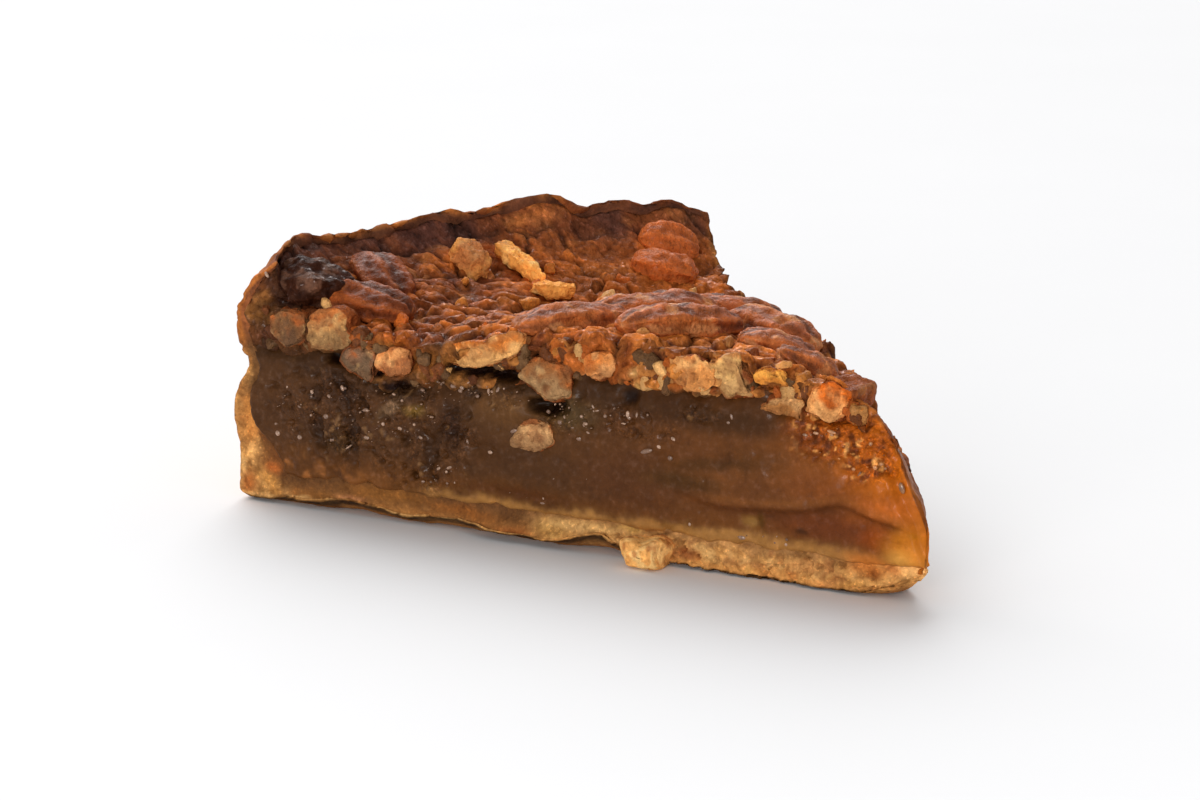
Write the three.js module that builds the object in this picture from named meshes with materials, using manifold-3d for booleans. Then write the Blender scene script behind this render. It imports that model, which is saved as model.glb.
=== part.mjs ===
// One cut slice of pecan pie: a short crust, a set filling, a layer of chopped pecans in caramel,
// and the larger pieces of pecan in and on it.
// Millimetres, +Z up. The slice rests on z = 0, its tip points to +X and its rim to -X.

import * as THREE from 'three';
import { mergeVertices } from 'three/addons/utils/BufferGeometryUtils.js';
import Module from 'manifold-3d';

const wasm = await Module();
wasm.setup();

// ---------------------------------------------------------------- driving dimensions

const PIE_RADIUS = 115; // outside of the crust at its foot
const HALF_ANGLE = 22.5; // degrees either side of the middle: an eighth of the pie
const TIP_RADIUS = 1.5; // the knife leaves a blunt tip
const BELLY = 0.9; // the wall swells by this low down
const FLUTE_RELIEF = 0.9; // depth of the pressed scallops
const TIP_X = (PIE_RADIUS + BELLY + FLUTE_RELIEF / 2 + TIP_RADIUS) / 2; // centres the slice's box
const GAP = 0.3; // clearance between pieces that touch
const RIM_GAP = 0.65; // between the nut layer and the twisting face of the rim
const FLOOR_GAP = 0.7; // between the filling and the rolling top of the base

const FLOOR_TOP = 5.4; // top of the baked base
const TIP_LIFT = 4.6; // how far the underside turns up at the tip
const TIP_LIFT_LENGTH = 11;
const FOOT_ROUND = 1.8; // rounding of the crust's foot at the back
const WALL_THICKNESS = 2.2;
const RIM_THICKNESS = 1.4; // the wall thins towards its edge
const FILLET_TOP = 18; // the wall thickens below this height
const FILLET_WIDTH = 7; // extra thickness of the wall at the base's top
const LEAN_START = 28; // the rim leans in above this height
const LAP_BELOW_RIM = 1.4; // the caramel climbs the rim to this far below its edge
const LAP_REACH = 4.5; // and falls back to the level of the top over this length
const FAR_LAP_REACH = 2.2; // shorter at the far cut, where the rim stands up straight
const INSIDE_HEIGHTS = [6.4, 8.4, 10.5, 13, 16, 19, 25.5, 29, 32]; // levels of the wall's inner face
const NUT_LEVEL = 6; // the first of those levels that the nut layer meets
const NUT_LAYER_DEPTH = 6.2; // chopped pecans and caramel over the set filling
const NUT_LAYER_TIP_DEPTH = 4.6;
const NUT_LAYER_START = 11.5; // distance from the tip at which that layer begins
const LEVEL_REACH = 100; // beyond this distance the layers inside run level to the wall
const DOME = 1.2; // the top is a little higher in the middle of the slice
const TOP_RELIEF = 0.7; // rise and fall of the caramel between its pecans

// Heights along the slice's two top edges, as [distance from the tip, height].
const nearEdge = curve([
  [0.5, 7.5], [2.5, 12.5], [5, 18], [8, 23.5], [11, 27.3], [15, 29], [25, 30.3],
  [45, 30.8], [60, 30.2], [72, 28.4], [87, 27], [100, 29.5], [115, 31],
]);
const farEdge = curve([
  [0.5, 9], [5, 13.3], [11, 17.5], [18, 19.6], [27, 22.6], [40, 25.8], [62, 26.4],
  [75, 25.8], [90, 24.2], [103, 26.8], [115, 28.5],
]);

// Height of the rim round the slice, and how far its edge leans in, by angle in degrees.
const rimTop = curve([
  [-22.5, 36.2], [-17, 38.3], [-12, 37.1], [-6, 37.3], [-1.2, 38.4], [1.6, 37.5], [7, 39.2], [9.3, 38.8],
  [11.5, 36.6], [14.5, 37.4], [16.8, 36.3], [19.4, 36.8], [22.5, 34.4],
]);
const rimLean = curve([[-22.5, 6.8], [-19.5, 3.6], [-16, 1.2], [-6, 0.6], [10, 0.5], [22.5, 0.4]]);

const FLUTES = [-21.5, -15.5, -8, -1, 6.5, 14.2, 20.5]; // angles of the pressed scallops
const FLUTE_WIDTH = 2.2; // degrees

// Hollows under the crust's two cut edges: distance from the tip, height, length.
const NEAR_HOLLOWS = [[95, 1.1, 4.5], [53, 1.5, 4], [75, 0.5, 6]];
const FAR_HOLLOWS = [[84, 1.2, 5], [60, 0.8, 4], [33, 1.3, 4]];
const HOLLOW_REACH = 2.6; // how far in from the cut a hollow fades

// ---------------------------------------------------------------- curves and small helpers

// A smooth curve through [place, value] knots, level beyond its ends.
function curve(knots) {
  const last = knots.length - 1;
  const slopes = knots.map((knot, i) => {
    const before = knots[Math.max(i - 1, 0)];
    const after = knots[Math.min(i + 1, last)];
    return (after[1] - before[1]) / (after[0] - before[0]);
  });
  return (place) => {
    const x = Math.min(Math.max(place, knots[0][0]), knots[last][0]);
    const i = Math.min(knots.findLastIndex((knot) => knot[0] <= x), last - 1);
    const span = knots[i + 1][0] - knots[i][0];
    const u = (x - knots[i][0]) / span;
    return (
      knots[i][1] * (1 + 2 * u) * (1 - u) ** 2 +
      slopes[i] * span * u * (1 - u) ** 2 +
      knots[i + 1][1] * u * u * (3 - 2 * u) +
      slopes[i + 1] * span * u * u * (u - 1)
    );
  };
}

const bump = (x, centre, width) => Math.exp(-(((x - centre) / width) ** 2));
const radians = THREE.MathUtils.degToRad;
const range = (count) => Array.from({ length: count }, (_, i) => i);
const spread = (from, to, count) => range(count).map((i) => from + ((to - from) * i) / (count - 1));

// Random numbers from 0 to 1 that come out the same on every run.
function seeded(seed) {
  let state = seed;
  return () => {
    state = (state * 1664525 + 1013904223) % 4294967296;
    return state / 4294967296;
  };
}

// Rolling relief between -1 and 1 whose hills are about one pitch apart.
function ripple(x, y, pitch, seed) {
  const turn = (2 * Math.PI) / pitch;
  const a = Math.sin(turn * (0.8 * x + 0.6 * y) + seed);
  const b = Math.sin(turn * (-0.5 * x + 0.9 * y) * 1.1 + 2.1 * seed);
  const c = Math.sin(turn * (0.3 * x - 1.0 * y) * 0.7 + 3.7 * seed);
  return (a + b + c) / 3;
}

// A place on the slice from its distance to the tip, its angle and its height.
function place(r, angle, z) {
  return new THREE.Vector3(TIP_X - r * Math.cos(radians(angle)), r * Math.sin(radians(angle)), z);
}

// The turn that tips a piece about its length, then about its width, then swings it round.
function turned(about, tip, heading) {
  return new THREE.Quaternion().setFromEuler(new THREE.Euler(about, tip, heading, 'ZYX'));
}

// ---------------------------------------------------------------- surfaces of the slice

const flute = (angle) =>
  FLUTE_RELIEF * (FLUTES.reduce((sum, at) => sum + bump(angle, at, FLUTE_WIDTH), 0) - 0.5);

// Outside of the wall: it bellies low down, is pinched half way and leans in at the rim.
function wallMiddle(z, angle) {
  const rise = Math.max(0, (z - LEAN_START) / (rimTop(angle) - LEAN_START));
  return PIE_RADIUS + BELLY * bump(z, 12.5, 3) - 2.2 * bump(z, 20.6, 3) - rimLean(angle) * rise ** 1.7;
}

const outerRadius = (z, angle) => wallMiddle(z, angle) + flute(angle);

function innerRadius(z, angle) {
  const fillet = Math.max(0, (FILLET_TOP - z) / (FILLET_TOP - FLOOR_TOP)) ** 1.6;
  const thinning = THREE.MathUtils.smoothstep(z, LEAN_START - 4, LEAN_START + 6);
  const thickness = WALL_THICKNESS + (RIM_THICKNESS - WALL_THICKNESS) * thinning;
  return wallMiddle(z, angle) - thickness - FILLET_WIDTH * fillet;
}

function underside(r, angle) {
  const tip = TIP_LIFT * Math.max(0, 1 - r / TIP_LIFT_LENGTH) ** 1.7;
  const nearReach = bump(r * Math.sin(radians(angle + HALF_ANGLE)), 0, HOLLOW_REACH);
  const farReach = bump(r * Math.sin(radians(HALF_ANGLE - angle)), 0, HOLLOW_REACH);
  const near = NEAR_HOLLOWS.reduce((sum, [at, height, length]) => sum + height * bump(r, at, length), 0);
  const far = FAR_HOLLOWS.reduce((sum, [at, height, length]) => sum + height * bump(r, at, length), 0);
  const lift = tip + near * nearReach + far * farReach;
  return lift < 0.02 ? 0 : lift;
}

const floorTop = (r, angle) => FLOOR_TOP + 0.3 * ripple(r, 0.02 * r * angle, 23, 1.3) + 0.8 * bump(r, 0, 5);

// Top of the slice before the caramel climbs the rim.
function plainTop(r, angle) {
  const across = (angle + HALF_ANGLE) / (2 * HALF_ANGLE);
  const blend = across * across * (3 - 2 * across);
  return nearEdge(r) * (1 - blend) + farEdge(r) * blend + DOME * Math.sin(Math.PI * across);
}

const lapHeight = (angle) => rimTop(angle) - LAP_BELOW_RIM;

// How far the caramel has climbed the rim at a place: 0 out on the top, 1 at the wall.
function climb(r, angle) {
  const toRim = Math.max(0, innerRadius(lapHeight(angle), angle) - r);
  const reach = LAP_REACH + (FAR_LAP_REACH - LAP_REACH) * THREE.MathUtils.smoothstep(angle, 15, HALF_ANGLE);
  return Math.exp(-((toRim / reach) ** 1.4));
}

function fullTop(r, angle) {
  const level = plainTop(r, angle);
  return level + (lapHeight(angle) - level) * climb(r, angle);
}

function nutLayerTop(r, angle) {
  const at = place(r, angle, 0);
  return fullTop(r, angle) + TOP_RELIEF * (1 - climb(r, angle)) * ripple(at.x, at.y, 9, 4.2);
}

function nutLayerBottom(r, angle) {
  const full = THREE.MathUtils.smoothstep(r, NUT_LAYER_START, 4 * NUT_LAYER_START);
  const depth = NUT_LAYER_TIP_DEPTH + (NUT_LAYER_DEPTH - NUT_LAYER_TIP_DEPTH) * full;
  return plainTop(Math.min(r, LEVEL_REACH), angle) - depth;
}

// Top of the set filling: under the pecans, and bare at the tip.
function fillingTop(r, angle) {
  const covered = THREE.MathUtils.smoothstep(r, NUT_LAYER_START - 2.5, NUT_LAYER_START - 0.5);
  return plainTop(r, angle) * (1 - covered) + (nutLayerBottom(r, angle) - GAP) * covered;
}

// ---------------------------------------------------------------- solids

function solidOf(geometry) {
  const bare = geometry.clone();
  bare.deleteAttribute('normal');
  bare.deleteAttribute('uv');
  const merged = mergeVertices(bare, 1e-4);
  return new wasm.Manifold(
    new wasm.Mesh({
      numProp: 3,
      vertProperties: new Float32Array(merged.attributes.position.array),
      triVerts: new Uint32Array(merged.index.array),
    }),
  );
}

function geometryOf(solid) {
  const mesh = solid.getMesh();
  const geometry = new THREE.BufferGeometry();
  geometry.setAttribute('position', new THREE.BufferAttribute(mesh.vertProperties.slice(), 3));
  geometry.setIndex(new THREE.BufferAttribute(mesh.triVerts.slice(), 1));
  geometry.computeVertexNormals();
  return geometry;
}

// Keeps the body and drops any scrap that a cut has left loose.
function mainBody(solid) {
  return solid.decompose().reduce((a, b) => (a.volume() > b.volume() ? a : b));
}

// A solid swept about the pie's centre. profileAt(angle) gives [r, z] points, anticlockwise.
function sweep(profileAt, columns) {
  const angles = spread(-HALF_ANGLE, HALF_ANGLE, columns + 1);
  const profiles = angles.map(profileAt);
  const count = profiles[0].length;
  const positions = profiles.flatMap((profile, j) =>
    profile.flatMap(([r, z]) => place(r, angles[j], z).toArray()),
  );
  const index = [];
  for (const j of range(columns)) {
    for (const i of range(count)) {
      const a = j * count + i;
      const b = j * count + ((i + 1) % count);
      index.push(a, b, b + count, a, b + count, a + count);
    }
  }
  index.push(...lid(profiles[0], 0, true));
  index.push(...lid(profiles[columns], columns * count, false));
  const geometry = new THREE.BufferGeometry();
  geometry.setAttribute('position', new THREE.Float32BufferAttribute(positions, 3));
  geometry.setIndex(index);
  return solidOf(geometry);
}

// The flat end of a sweep, as triangles that face along the sweep, or back from it.
function lid(profile, first, back) {
  const outline = profile.map(([r, z]) => new THREE.Vector2(r, z));
  return THREE.ShapeUtils.triangulateShape(outline, []).flatMap((corners) => {
    const [a, b, c] = corners.map((corner) => outline[corner]);
    const anticlockwise = (b.x - a.x) * (c.y - a.y) - (b.y - a.y) * (c.x - a.x) > 0;
    const facing = anticlockwise === back ? [...corners].reverse() : corners;
    return facing.map((corner) => corner + first);
  });
}

// A unit ball with its radius changed by direction, then scaled, turned and put in place.
function ball(radiusAlong, detail, size, turn, centre) {
  const geometry = new THREE.IcosahedronGeometry(1, detail);
  const position = geometry.attributes.position;
  const point = new THREE.Vector3();
  for (const i of range(position.count)) {
    point.fromBufferAttribute(position, i).normalize();
    point.multiplyScalar(radiusAlong(point));
    position.setXYZ(i, point.x, point.y, point.z);
  }
  geometry.scale(size[0] / 2, size[1] / 2, size[2] / 2);
  geometry.applyQuaternion(turn);
  geometry.translate(centre.x, centre.y, centre.z);
  return geometry;
}

// A chopped nut: a rounded block with its corners knocked off by flat breaks.
function choppedShape(seed) {
  const random = seeded(seed);
  const planes = [];
  for (const axis of [[1, 0, 0], [0, 1, 0], [0, 0, 1]]) {
    planes.push([new THREE.Vector3(...axis), 1], [new THREE.Vector3(...axis).negate(), 1]);
  }
  for (const _ of range(7)) {
    const normal = new THREE.Vector3(random() - 0.5, random() - 0.5, random() - 0.5).normalize();
    planes.push([normal, 0.82 + 0.16 * random()]);
  }
  const power = 9;
  return (direction) => {
    const reach = planes.map(([normal, distance]) => Math.max(0, direction.dot(normal) / distance));
    return reach.reduce((sum, part) => sum + part ** power, 0) ** (-1 / power);
  };
}

// Half a pecan, its length along x: tapered ends, lengthwise ridges and a groove down its back.
function pecanShape(seed) {
  const phase = seeded(seed)() * 2;
  return (direction) => {
    const around = Math.atan2(direction.z, direction.y);
    const middle = 1 - direction.x * direction.x;
    const ridges = 0.07 * Math.cos(7 * around + phase);
    const groove = -0.16 * bump(around, Math.PI / 2, 0.28);
    return 1 + middle * (ridges + groove) - 0.06 * direction.x ** 4;
  };
}

// ---------------------------------------------------------------- the pieces of pecan

const CUT_NORMAL = {
  near: new THREE.Vector3(Math.sin(radians(HALF_ANGLE)), -Math.cos(radians(HALF_ANGLE)), 0),
  far: new THREE.Vector3(Math.sin(radians(HALF_ANGLE)), Math.cos(radians(HALF_ANGLE)), 0),
};
const CUT_TURN = { near: radians(HALF_ANGLE), far: -radians(HALF_ANGLE) }; // heading of the tip along a cut
const CUT_PROUD = 0.4; // the knife leaves a nut standing this far out of the cut
const CUT_NUT_DEPTH = 1.6; // from the cut in to the middle of the nut
const CUT_NUT_WIDTH = 9;

// A piece at a cut: distance from the tip, height, length, height of the piece, rise to the tip in degrees.
const NEAR_CUT_NUTS = [
  [106, 26.9, 6.6, 6, -5], [98.2, 27.6, 7, 5.8, 8], [93.4, 23.7, 6.2, 4.8, -15], [87, 24.2, 7.6, 4.8, 20],
  [70.8, 27.3, 14, 4, 13], [60.8, 24, 10.4, 6.6, -12], [62.9, 16.2, 7, 4.8, -8], [52, 27.2, 5, 4.6, 30],
  [37.4, 28, 7.4, 5.2, 6], [31.2, 27.8, 4.8, 6.6, 24], [25.2, 28.8, 5.4, 3.4, 12], [23.4, 25.2, 6.4, 3, -8],
  [16, 26.6, 6.6, 5.4, -14],
];
const FAR_CUT_NUTS = [
  [97, 22.2, 8, 5, 12], [82, 21.8, 10, 4.6, -8], [68, 22.8, 7, 5.4, 25], [53, 22.8, 11, 4.6, -6],
  [37, 21.2, 8, 5.2, 14],
];

// Pecans on the top: distance from the tip, angle, size, heading, tilt, how high the middle sits.
const TOP_PECANS = [
  [98, -17.6, [17, 9, 6], 12, -4, 0.6], [104.5, -11.6, [15, 9.5, 6], -20, 4, 0.4],
  [109, 18.4, [11, 7.5, 5.5], 80, 0, 0.6], [101.6, 16.6, [12, 7.5, 5.5], 55, 0, 0.8],
  [64, -13.5, [21, 10, 6], 70, 3, 0.6], [67, 3, [22, 10.5, 6.5], 80, -3, 0.6],
  [68, 15.2, [17, 9, 5.8], 55, 3, 0.4], [48.5, -7.5, [21, 9.5, 6], 78, 0, 0.9],
  [49, 13, [17, 9.5, 6], 24, 4, 0.9], [34.5, 2.5, [16, 8.5, 5.6], 84, 3, 0.5],
  [24, -4, [13, 7, 5], 70, 2, 0.3],
];

// Loose crumbs on the top: distance from the tip, angle, size, heading, how high the middle sits.
const TOP_CRUMBS = [
  [105.4, -1.6, [5.8, 5, 4.6], 0, 1.6], [101.6, 2.4, [12, 3.6, 3.4], 4, 1.5],
  [93.6, 2.6, [8, 4, 3.2], 72, 1.2],
];

// A place on a cut: distance from the tip, height, and how far out of the cut.
function onCut(side, distance, height, proud) {
  const angle = side === 'near' ? -HALF_ANGLE : HALF_ANGLE;
  return place(distance, angle, height).addScaledVector(CUT_NORMAL[side], proud);
}

function cutNut([distance, height, length, tall, rise], i, side) {
  return {
    name: `${side}_cut_nut_${String(i + 1).padStart(2, '0')}`,
    shape: choppedShape(31 + 7 * i + (side === 'far' ? 500 : 0)),
    size: [length, CUT_NUT_WIDTH, tall],
    turn: turned(0, -radians(rise), CUT_TURN[side]),
    centre: onCut(side, distance, height, -CUT_NUT_DEPTH),
    cut: side,
  };
}

const onTop = (distance, angle) => place(distance, angle, fullTop(distance, angle));

// Lies on the top with its back along the surface's normal.
function topPiece([distance, angle, size, heading, tilt, sits], i, kind, shape) {
  const step = 3;
  const swing = (step / distance) * THREE.MathUtils.RAD2DEG;
  const outward = onTop(distance + step, angle).sub(onTop(distance - step, angle));
  const around = onTop(distance, angle + swing).sub(onTop(distance, angle - swing));
  const up = around.cross(outward).normalize();
  const level = radians(heading - angle);
  const across = up.clone().cross(new THREE.Vector3(Math.cos(level), Math.sin(level), 0)).normalize();
  const lie = new THREE.Matrix4().makeBasis(across.clone().cross(up), across, up);
  lie.multiply(new THREE.Matrix4().makeRotationY(radians(tilt)));
  return {
    name: `${kind}_${String(i + 1).padStart(2, '0')}`,
    shape,
    size,
    turn: new THREE.Quaternion().setFromRotationMatrix(lie),
    centre: place(distance, angle, fullTop(distance, angle) + sits),
  };
}

const PIECES = [
  ...NEAR_CUT_NUTS.map((nut, i) => cutNut(nut, i, 'near')),
  ...FAR_CUT_NUTS.map((nut, i) => cutNut(nut, i, 'far')),
  ...TOP_PECANS.map((nut, i) => topPiece(nut, i, 'top_pecan', pecanShape(11 + i))),
  ...TOP_CRUMBS.map(([distance, angle, size, heading, sits], i) =>
    topPiece([distance, angle, size, heading, 0, sits], i, 'top_crumb', choppedShape(901 + i)),
  ),
];

// Everything outside a cut, from as far out as a cut nut stands proud.
function knife(side) {
  const block = new THREE.BoxGeometry(2 * PIE_RADIUS, 40, 100);
  block.applyQuaternion(turned(0, 0, CUT_TURN[side]));
  const centre = onCut(side, 0, 0, CUT_PROUD + 20);
  block.translate(centre.x, centre.y, centre.z);
  return solidOf(block);
}

// The piece as a solid, or the pocket that it sits in when clearance is above zero.
function pieceSolid({ shape, size, turn, centre, cut }, clearance = 0) {
  const grown = size.map((side) => side + 2 * clearance);
  const solid = solidOf(ball(shape, 1, grown, turn, centre));
  return cut && clearance === 0 ? solid.subtract(knife(cut)) : solid;
}

// ---------------------------------------------------------------- crust

function baseProfile(angle) {
  const reach = innerRadius(INSIDE_HEIGHTS[0], angle);
  const bottom = spread(TIP_RADIUS, reach, 15).map((r) => [r, underside(r, angle)]);
  const top = spread(reach, TIP_RADIUS, 11).map((r) => [r, floorTop(r, angle)]);
  return [...bottom, ...top];
}

function wallProfile(angle) {
  const rim = rimTop(angle);
  const start = innerRadius(INSIDE_HEIGHTS[0], angle) - 3;
  const foot = outerRadius(0, angle);
  const bottom = spread(start, foot - FOOT_ROUND, 3).map((r) => [r, underside(r, angle)]);
  const outside = [FOOT_ROUND, 6, 9.5, 12.5, 15.5, 18, 20.6, 23.2, 26, 30, 33].map((z) => [
    outerRadius(z, angle), z,
  ]);
  const edge = [
    [outerRadius(rim - 0.9, angle) - 0.1, rim - 0.9],
    [outerRadius(rim, angle) - 0.8, rim - 0.1],
    [innerRadius(rim, angle) + 0.6, rim - 0.2],
    [innerRadius(lapHeight(angle), angle), lapHeight(angle)],
  ];
  const inside = [...INSIDE_HEIGHTS].reverse().map((z) => [innerRadius(z, angle), z]);
  return [...bottom, ...outside, ...edge, ...inside, [start, FLOOR_TOP - 1]];
}

// A crumb of baked crust standing out of a cut face.
function crustCrumb(distance, height, size, side, proud, seed) {
  const turn = turned(0, 0.2 * seed, CUT_TURN[side]);
  const crumb = ball(choppedShape(seed), 0, size, turn, onCut(side, distance, height, proud));
  const position = crumb.attributes.position;
  for (const i of range(position.count)) position.setZ(i, Math.max(0, position.getZ(i)));
  return solidOf(crumb);
}

function crustSolid() {
  let crust = sweep(baseProfile, 10).add(sweep(wallProfile, 30));
  const random = seeded(77);
  for (const side of ['near', 'far']) {
    for (const i of range(4)) {
      const distance = 18 + 21 * i + 6 * random();
      const height = 1.5 + 0.9 * random();
      const size = [6 + 4 * random(), 3.2, 2.8 + random()];
      crust = crust.add(crustCrumb(distance, height, size, side, -0.7, 3 + i));
    }
  }
  return crust.add(brokenFlake());
}

// The flake of base that has broken half away from the near cut and lies on the table.
function brokenFlake() {
  const centre = onCut('near', 43.6, 2, 0.2);
  const flake = new THREE.BoxGeometry(5.6, 8, 4, 2, 2, 1);
  const position = flake.attributes.position;
  for (const i of range(position.count)) {
    const [x, y, z] = [position.getX(i), position.getY(i), position.getZ(i)];
    position.setX(i, x + 0.35 * Math.sin(2 * y + 3 * z));
    position.setZ(i, z > 0 ? z + 0.3 * Math.sin(3 * x + y) : z);
  }
  flake.applyQuaternion(turned(0, 0, radians(HALF_ANGLE - 6)));
  flake.translate(centre.x, centre.y, centre.z);
  return solidOf(flake);
}

// ---------------------------------------------------------------- filling and nut layer

function fillingProfile(angle) {
  const low = INSIDE_HEIGHTS[0];
  const high = fillingTop(LEVEL_REACH, angle);
  const bottom = spread(TIP_RADIUS, innerRadius(low, angle) - 1.5, 12).map((r) => [
    r, floorTop(r, angle) + FLOOR_GAP,
  ]);
  const levels = [...INSIDE_HEIGHTS.slice(0, NUT_LEVEL), high];
  const back = levels.map((z) => [innerRadius(z, angle) - GAP - 0.1, z + 0.2]);
  const level = spread(innerRadius(high, angle) - GAP - 1, NUT_LAYER_START, 13);
  const nose = [10.4, 9.6, 8.6, 6.5, 4.5, 2.8, TIP_RADIUS];
  const top = [...level, ...nose].map((r) => [r, fillingTop(r, angle)]);
  return [...bottom, ...back, ...top];
}

function nutLayerProfile(angle) {
  const low = nutLayerBottom(LEVEL_REACH, angle);
  const high = lapHeight(angle);
  const bottom = spread(NUT_LAYER_START, innerRadius(low, angle) - RIM_GAP, 12).map((r) => [
    r, nutLayerBottom(r, angle),
  ]);
  const levels = [...INSIDE_HEIGHTS.slice(NUT_LEVEL), high];
  const back = levels.map((z) => [innerRadius(z, angle) - RIM_GAP, z]);
  const inner = innerRadius(high, angle) - RIM_GAP;
  const lap = [0.8, 2, 3.5, 5.5].map((step) => inner - step);
  const open = spread(inner - 8, NUT_LAYER_START + 0.8, 20);
  const top = [...lap, ...open].map((r) => [r, nutLayerTop(r, angle)]);
  const nose = [NUT_LAYER_START, nutLayerTop(NUT_LAYER_START, angle) - 1];
  return [...bottom, ...back, ...top, nose];
}

// Chopped pecan and set caramel standing up out of the layer, scattered evenly by the golden angle.
function choppedBits() {
  const random = seeded(5);
  return range(8).map((i) => {
    const distance = 20 + 82 * Math.sqrt((i + 0.5) / 8);
    const angle = -19.5 + 39 * ((i * 0.618034) % 1);
    const size = [3.4 + 2.4 * random(), 3 + 1.6 * random(), 2.6 + random()];
    const centre = place(distance, angle, fullTop(distance, angle) + 0.5);
    const turn = turned(random(), random(), 6 * random());
    return solidOf(ball(choppedShape(200 + i), 0, size, turn, centre));
  });
}

// The dark lump of burnt caramel at the near end of the rim, kept inside the wall.
function burntLump() {
  const centre = place(105.6, -19.6, 32.4);
  const lump = solidOf(ball(choppedShape(12), 1, [11, 7.5, 8], turned(0, 0.3, 0.4), centre));
  const inside = sweep((angle) => {
    const levels = [...INSIDE_HEIGHTS.slice(NUT_LEVEL), lapHeight(angle)];
    const wall = levels.map((z) => [innerRadius(z, angle) - RIM_GAP, z]);
    return [[80, levels[0]], ...wall, [80, lapHeight(angle)]];
  }, 30);
  return lump.intersect(inside);
}

// ---------------------------------------------------------------- assembly

const FINISH = {
  crust: { color: 0xc9935a, roughness: 0.8 },
  filling: { color: 0x5c3b20, roughness: 0.3 },
  nut_layer: { color: 0x8a4c26, roughness: 0.35 },
  near_cut_nut: { color: 0xc39463, roughness: 0.6 },
  far_cut_nut: { color: 0xc39463, roughness: 0.6 },
  top_pecan: { color: 0x8e4a28, roughness: 0.35 },
  top_crumb: { color: 0xc07a3c, roughness: 0.6 },
};

function part(name, solid) {
  const { color, roughness } = FINISH[name.replace(/_\d+$/, '')];
  const material = new THREE.MeshStandardMaterial({ color, roughness, metalness: 0 });
  const mesh = new THREE.Mesh(geometryOf(solid), material);
  mesh.name = name;
  return mesh;
}

const slice = new THREE.Group();
slice.name = 'pecan_pie_slice';

// Each piece is trimmed clear of those set before it, and the layers are cut clear of them all.
let pockets = null;
const pecans = [];
for (const piece of PIECES) {
  const solid = pieceSolid(piece);
  pecans.push(part(piece.name, pockets ? mainBody(solid.subtract(pockets)) : solid));
  const pocket = pieceSolid(piece, GAP);
  pockets = pockets ? pockets.add(pocket) : pocket;
}

let nutLayer = sweep(nutLayerProfile, 15).add(burntLump());
for (const bit of choppedBits()) nutLayer = nutLayer.add(bit);

const crust = crustSolid();
slice.add(part('crust', mainBody(crust.subtract(pockets))));
slice.add(part('filling', mainBody(sweep(fillingProfile, 12).subtract(pockets))));
slice.add(part('nut_layer', mainBody(nutLayer.subtract(pockets))));
slice.add(...pecans);

export default slice;
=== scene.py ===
"""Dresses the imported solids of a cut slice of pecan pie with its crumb, filling, caramel and nuts."""

import math

import bpy
import numpy as np
from bpy.props import FloatProperty, FloatVectorProperty, IntProperty, PointerProperty
from mathutils import Euler, Matrix, Vector


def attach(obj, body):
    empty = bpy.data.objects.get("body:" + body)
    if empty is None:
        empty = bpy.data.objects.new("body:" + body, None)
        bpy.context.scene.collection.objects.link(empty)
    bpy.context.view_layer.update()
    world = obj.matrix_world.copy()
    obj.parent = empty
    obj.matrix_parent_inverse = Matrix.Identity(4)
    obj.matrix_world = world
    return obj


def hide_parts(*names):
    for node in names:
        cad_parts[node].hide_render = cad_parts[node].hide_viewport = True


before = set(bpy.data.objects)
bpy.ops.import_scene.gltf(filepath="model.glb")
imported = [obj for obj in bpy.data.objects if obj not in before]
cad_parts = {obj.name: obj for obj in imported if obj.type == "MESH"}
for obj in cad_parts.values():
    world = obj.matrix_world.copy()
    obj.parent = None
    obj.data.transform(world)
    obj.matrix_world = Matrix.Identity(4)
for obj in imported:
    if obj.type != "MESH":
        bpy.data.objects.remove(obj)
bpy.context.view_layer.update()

bl_info = {
    "name": "Slice of pecan pie",
    "version": (1, 0, 0),
    "blender": (4, 5, 0),
    "location": "3D View > Sidebar > Pecan pie",
    "description": "Crust, filling, caramel, nuts and crumbs for a cut slice of pecan pie",
    "category": "Add Mesh",
}

MM = 0.001


def nodes_of(kind):
    """The CAD nodes whose names start with a kind, in order."""
    return sorted(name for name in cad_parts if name.startswith(kind))


# ------------------------------------------------------------------ numbers


def bump(x, centre, width):
    """A bell of height 1 at its centre: e to the minus square of the distance over the width."""
    return np.exp(-(((x - centre) / width) ** 2))


def step(x, low, high):
    """0 below low, 1 above high, and the smooth cubic 3t² - 2t³ between."""
    t = np.clip((x - low) / (high - low), 0, 1)
    return t * t * (3 - 2 * t)


def curve(*knots):
    """A smooth curve through (place, value) knots: cubic pieces sloped by the secants of their neighbours."""
    x, y = np.array(knots, float).T
    before = np.maximum(np.arange(len(x)) - 1, 0)
    after = np.minimum(np.arange(len(x)) + 1, len(x) - 1)
    slope = (y[after] - y[before]) / (x[after] - x[before])

    def at(place):
        p = np.clip(place, x[0], x[-1])
        i = np.clip(np.searchsorted(x, p, side="right") - 1, 0, len(x) - 2)
        span = x[i + 1] - x[i]
        u = (p - x[i]) / span
        low = y[i] * (1 + 2 * u) * (1 - u) ** 2 + slope[i] * span * u * (1 - u) ** 2
        return low + y[i + 1] * u * u * (3 - 2 * u) + slope[i + 1] * span * u * u * (u - 1)

    return at


def draw(cell, seed):
    """A repeatable number from 0 to 1 for each whole-numbered cell, from a mixed integer key."""
    x, y, z = (cell[..., axis].astype(np.int64) for axis in range(3))
    key = (x * 73856093 ^ y * 19349663 ^ z * 83492791 ^ seed * 97531357) & 0xFFFFFFFF
    key = ((key ^ (key >> 13)) * 1274126177) & 0xFFFFFFFF
    key = ((key ^ (key >> 15)) * 668265263) & 0xFFFFFFFF
    return (key ^ (key >> 16)) / 4294967296


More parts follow.
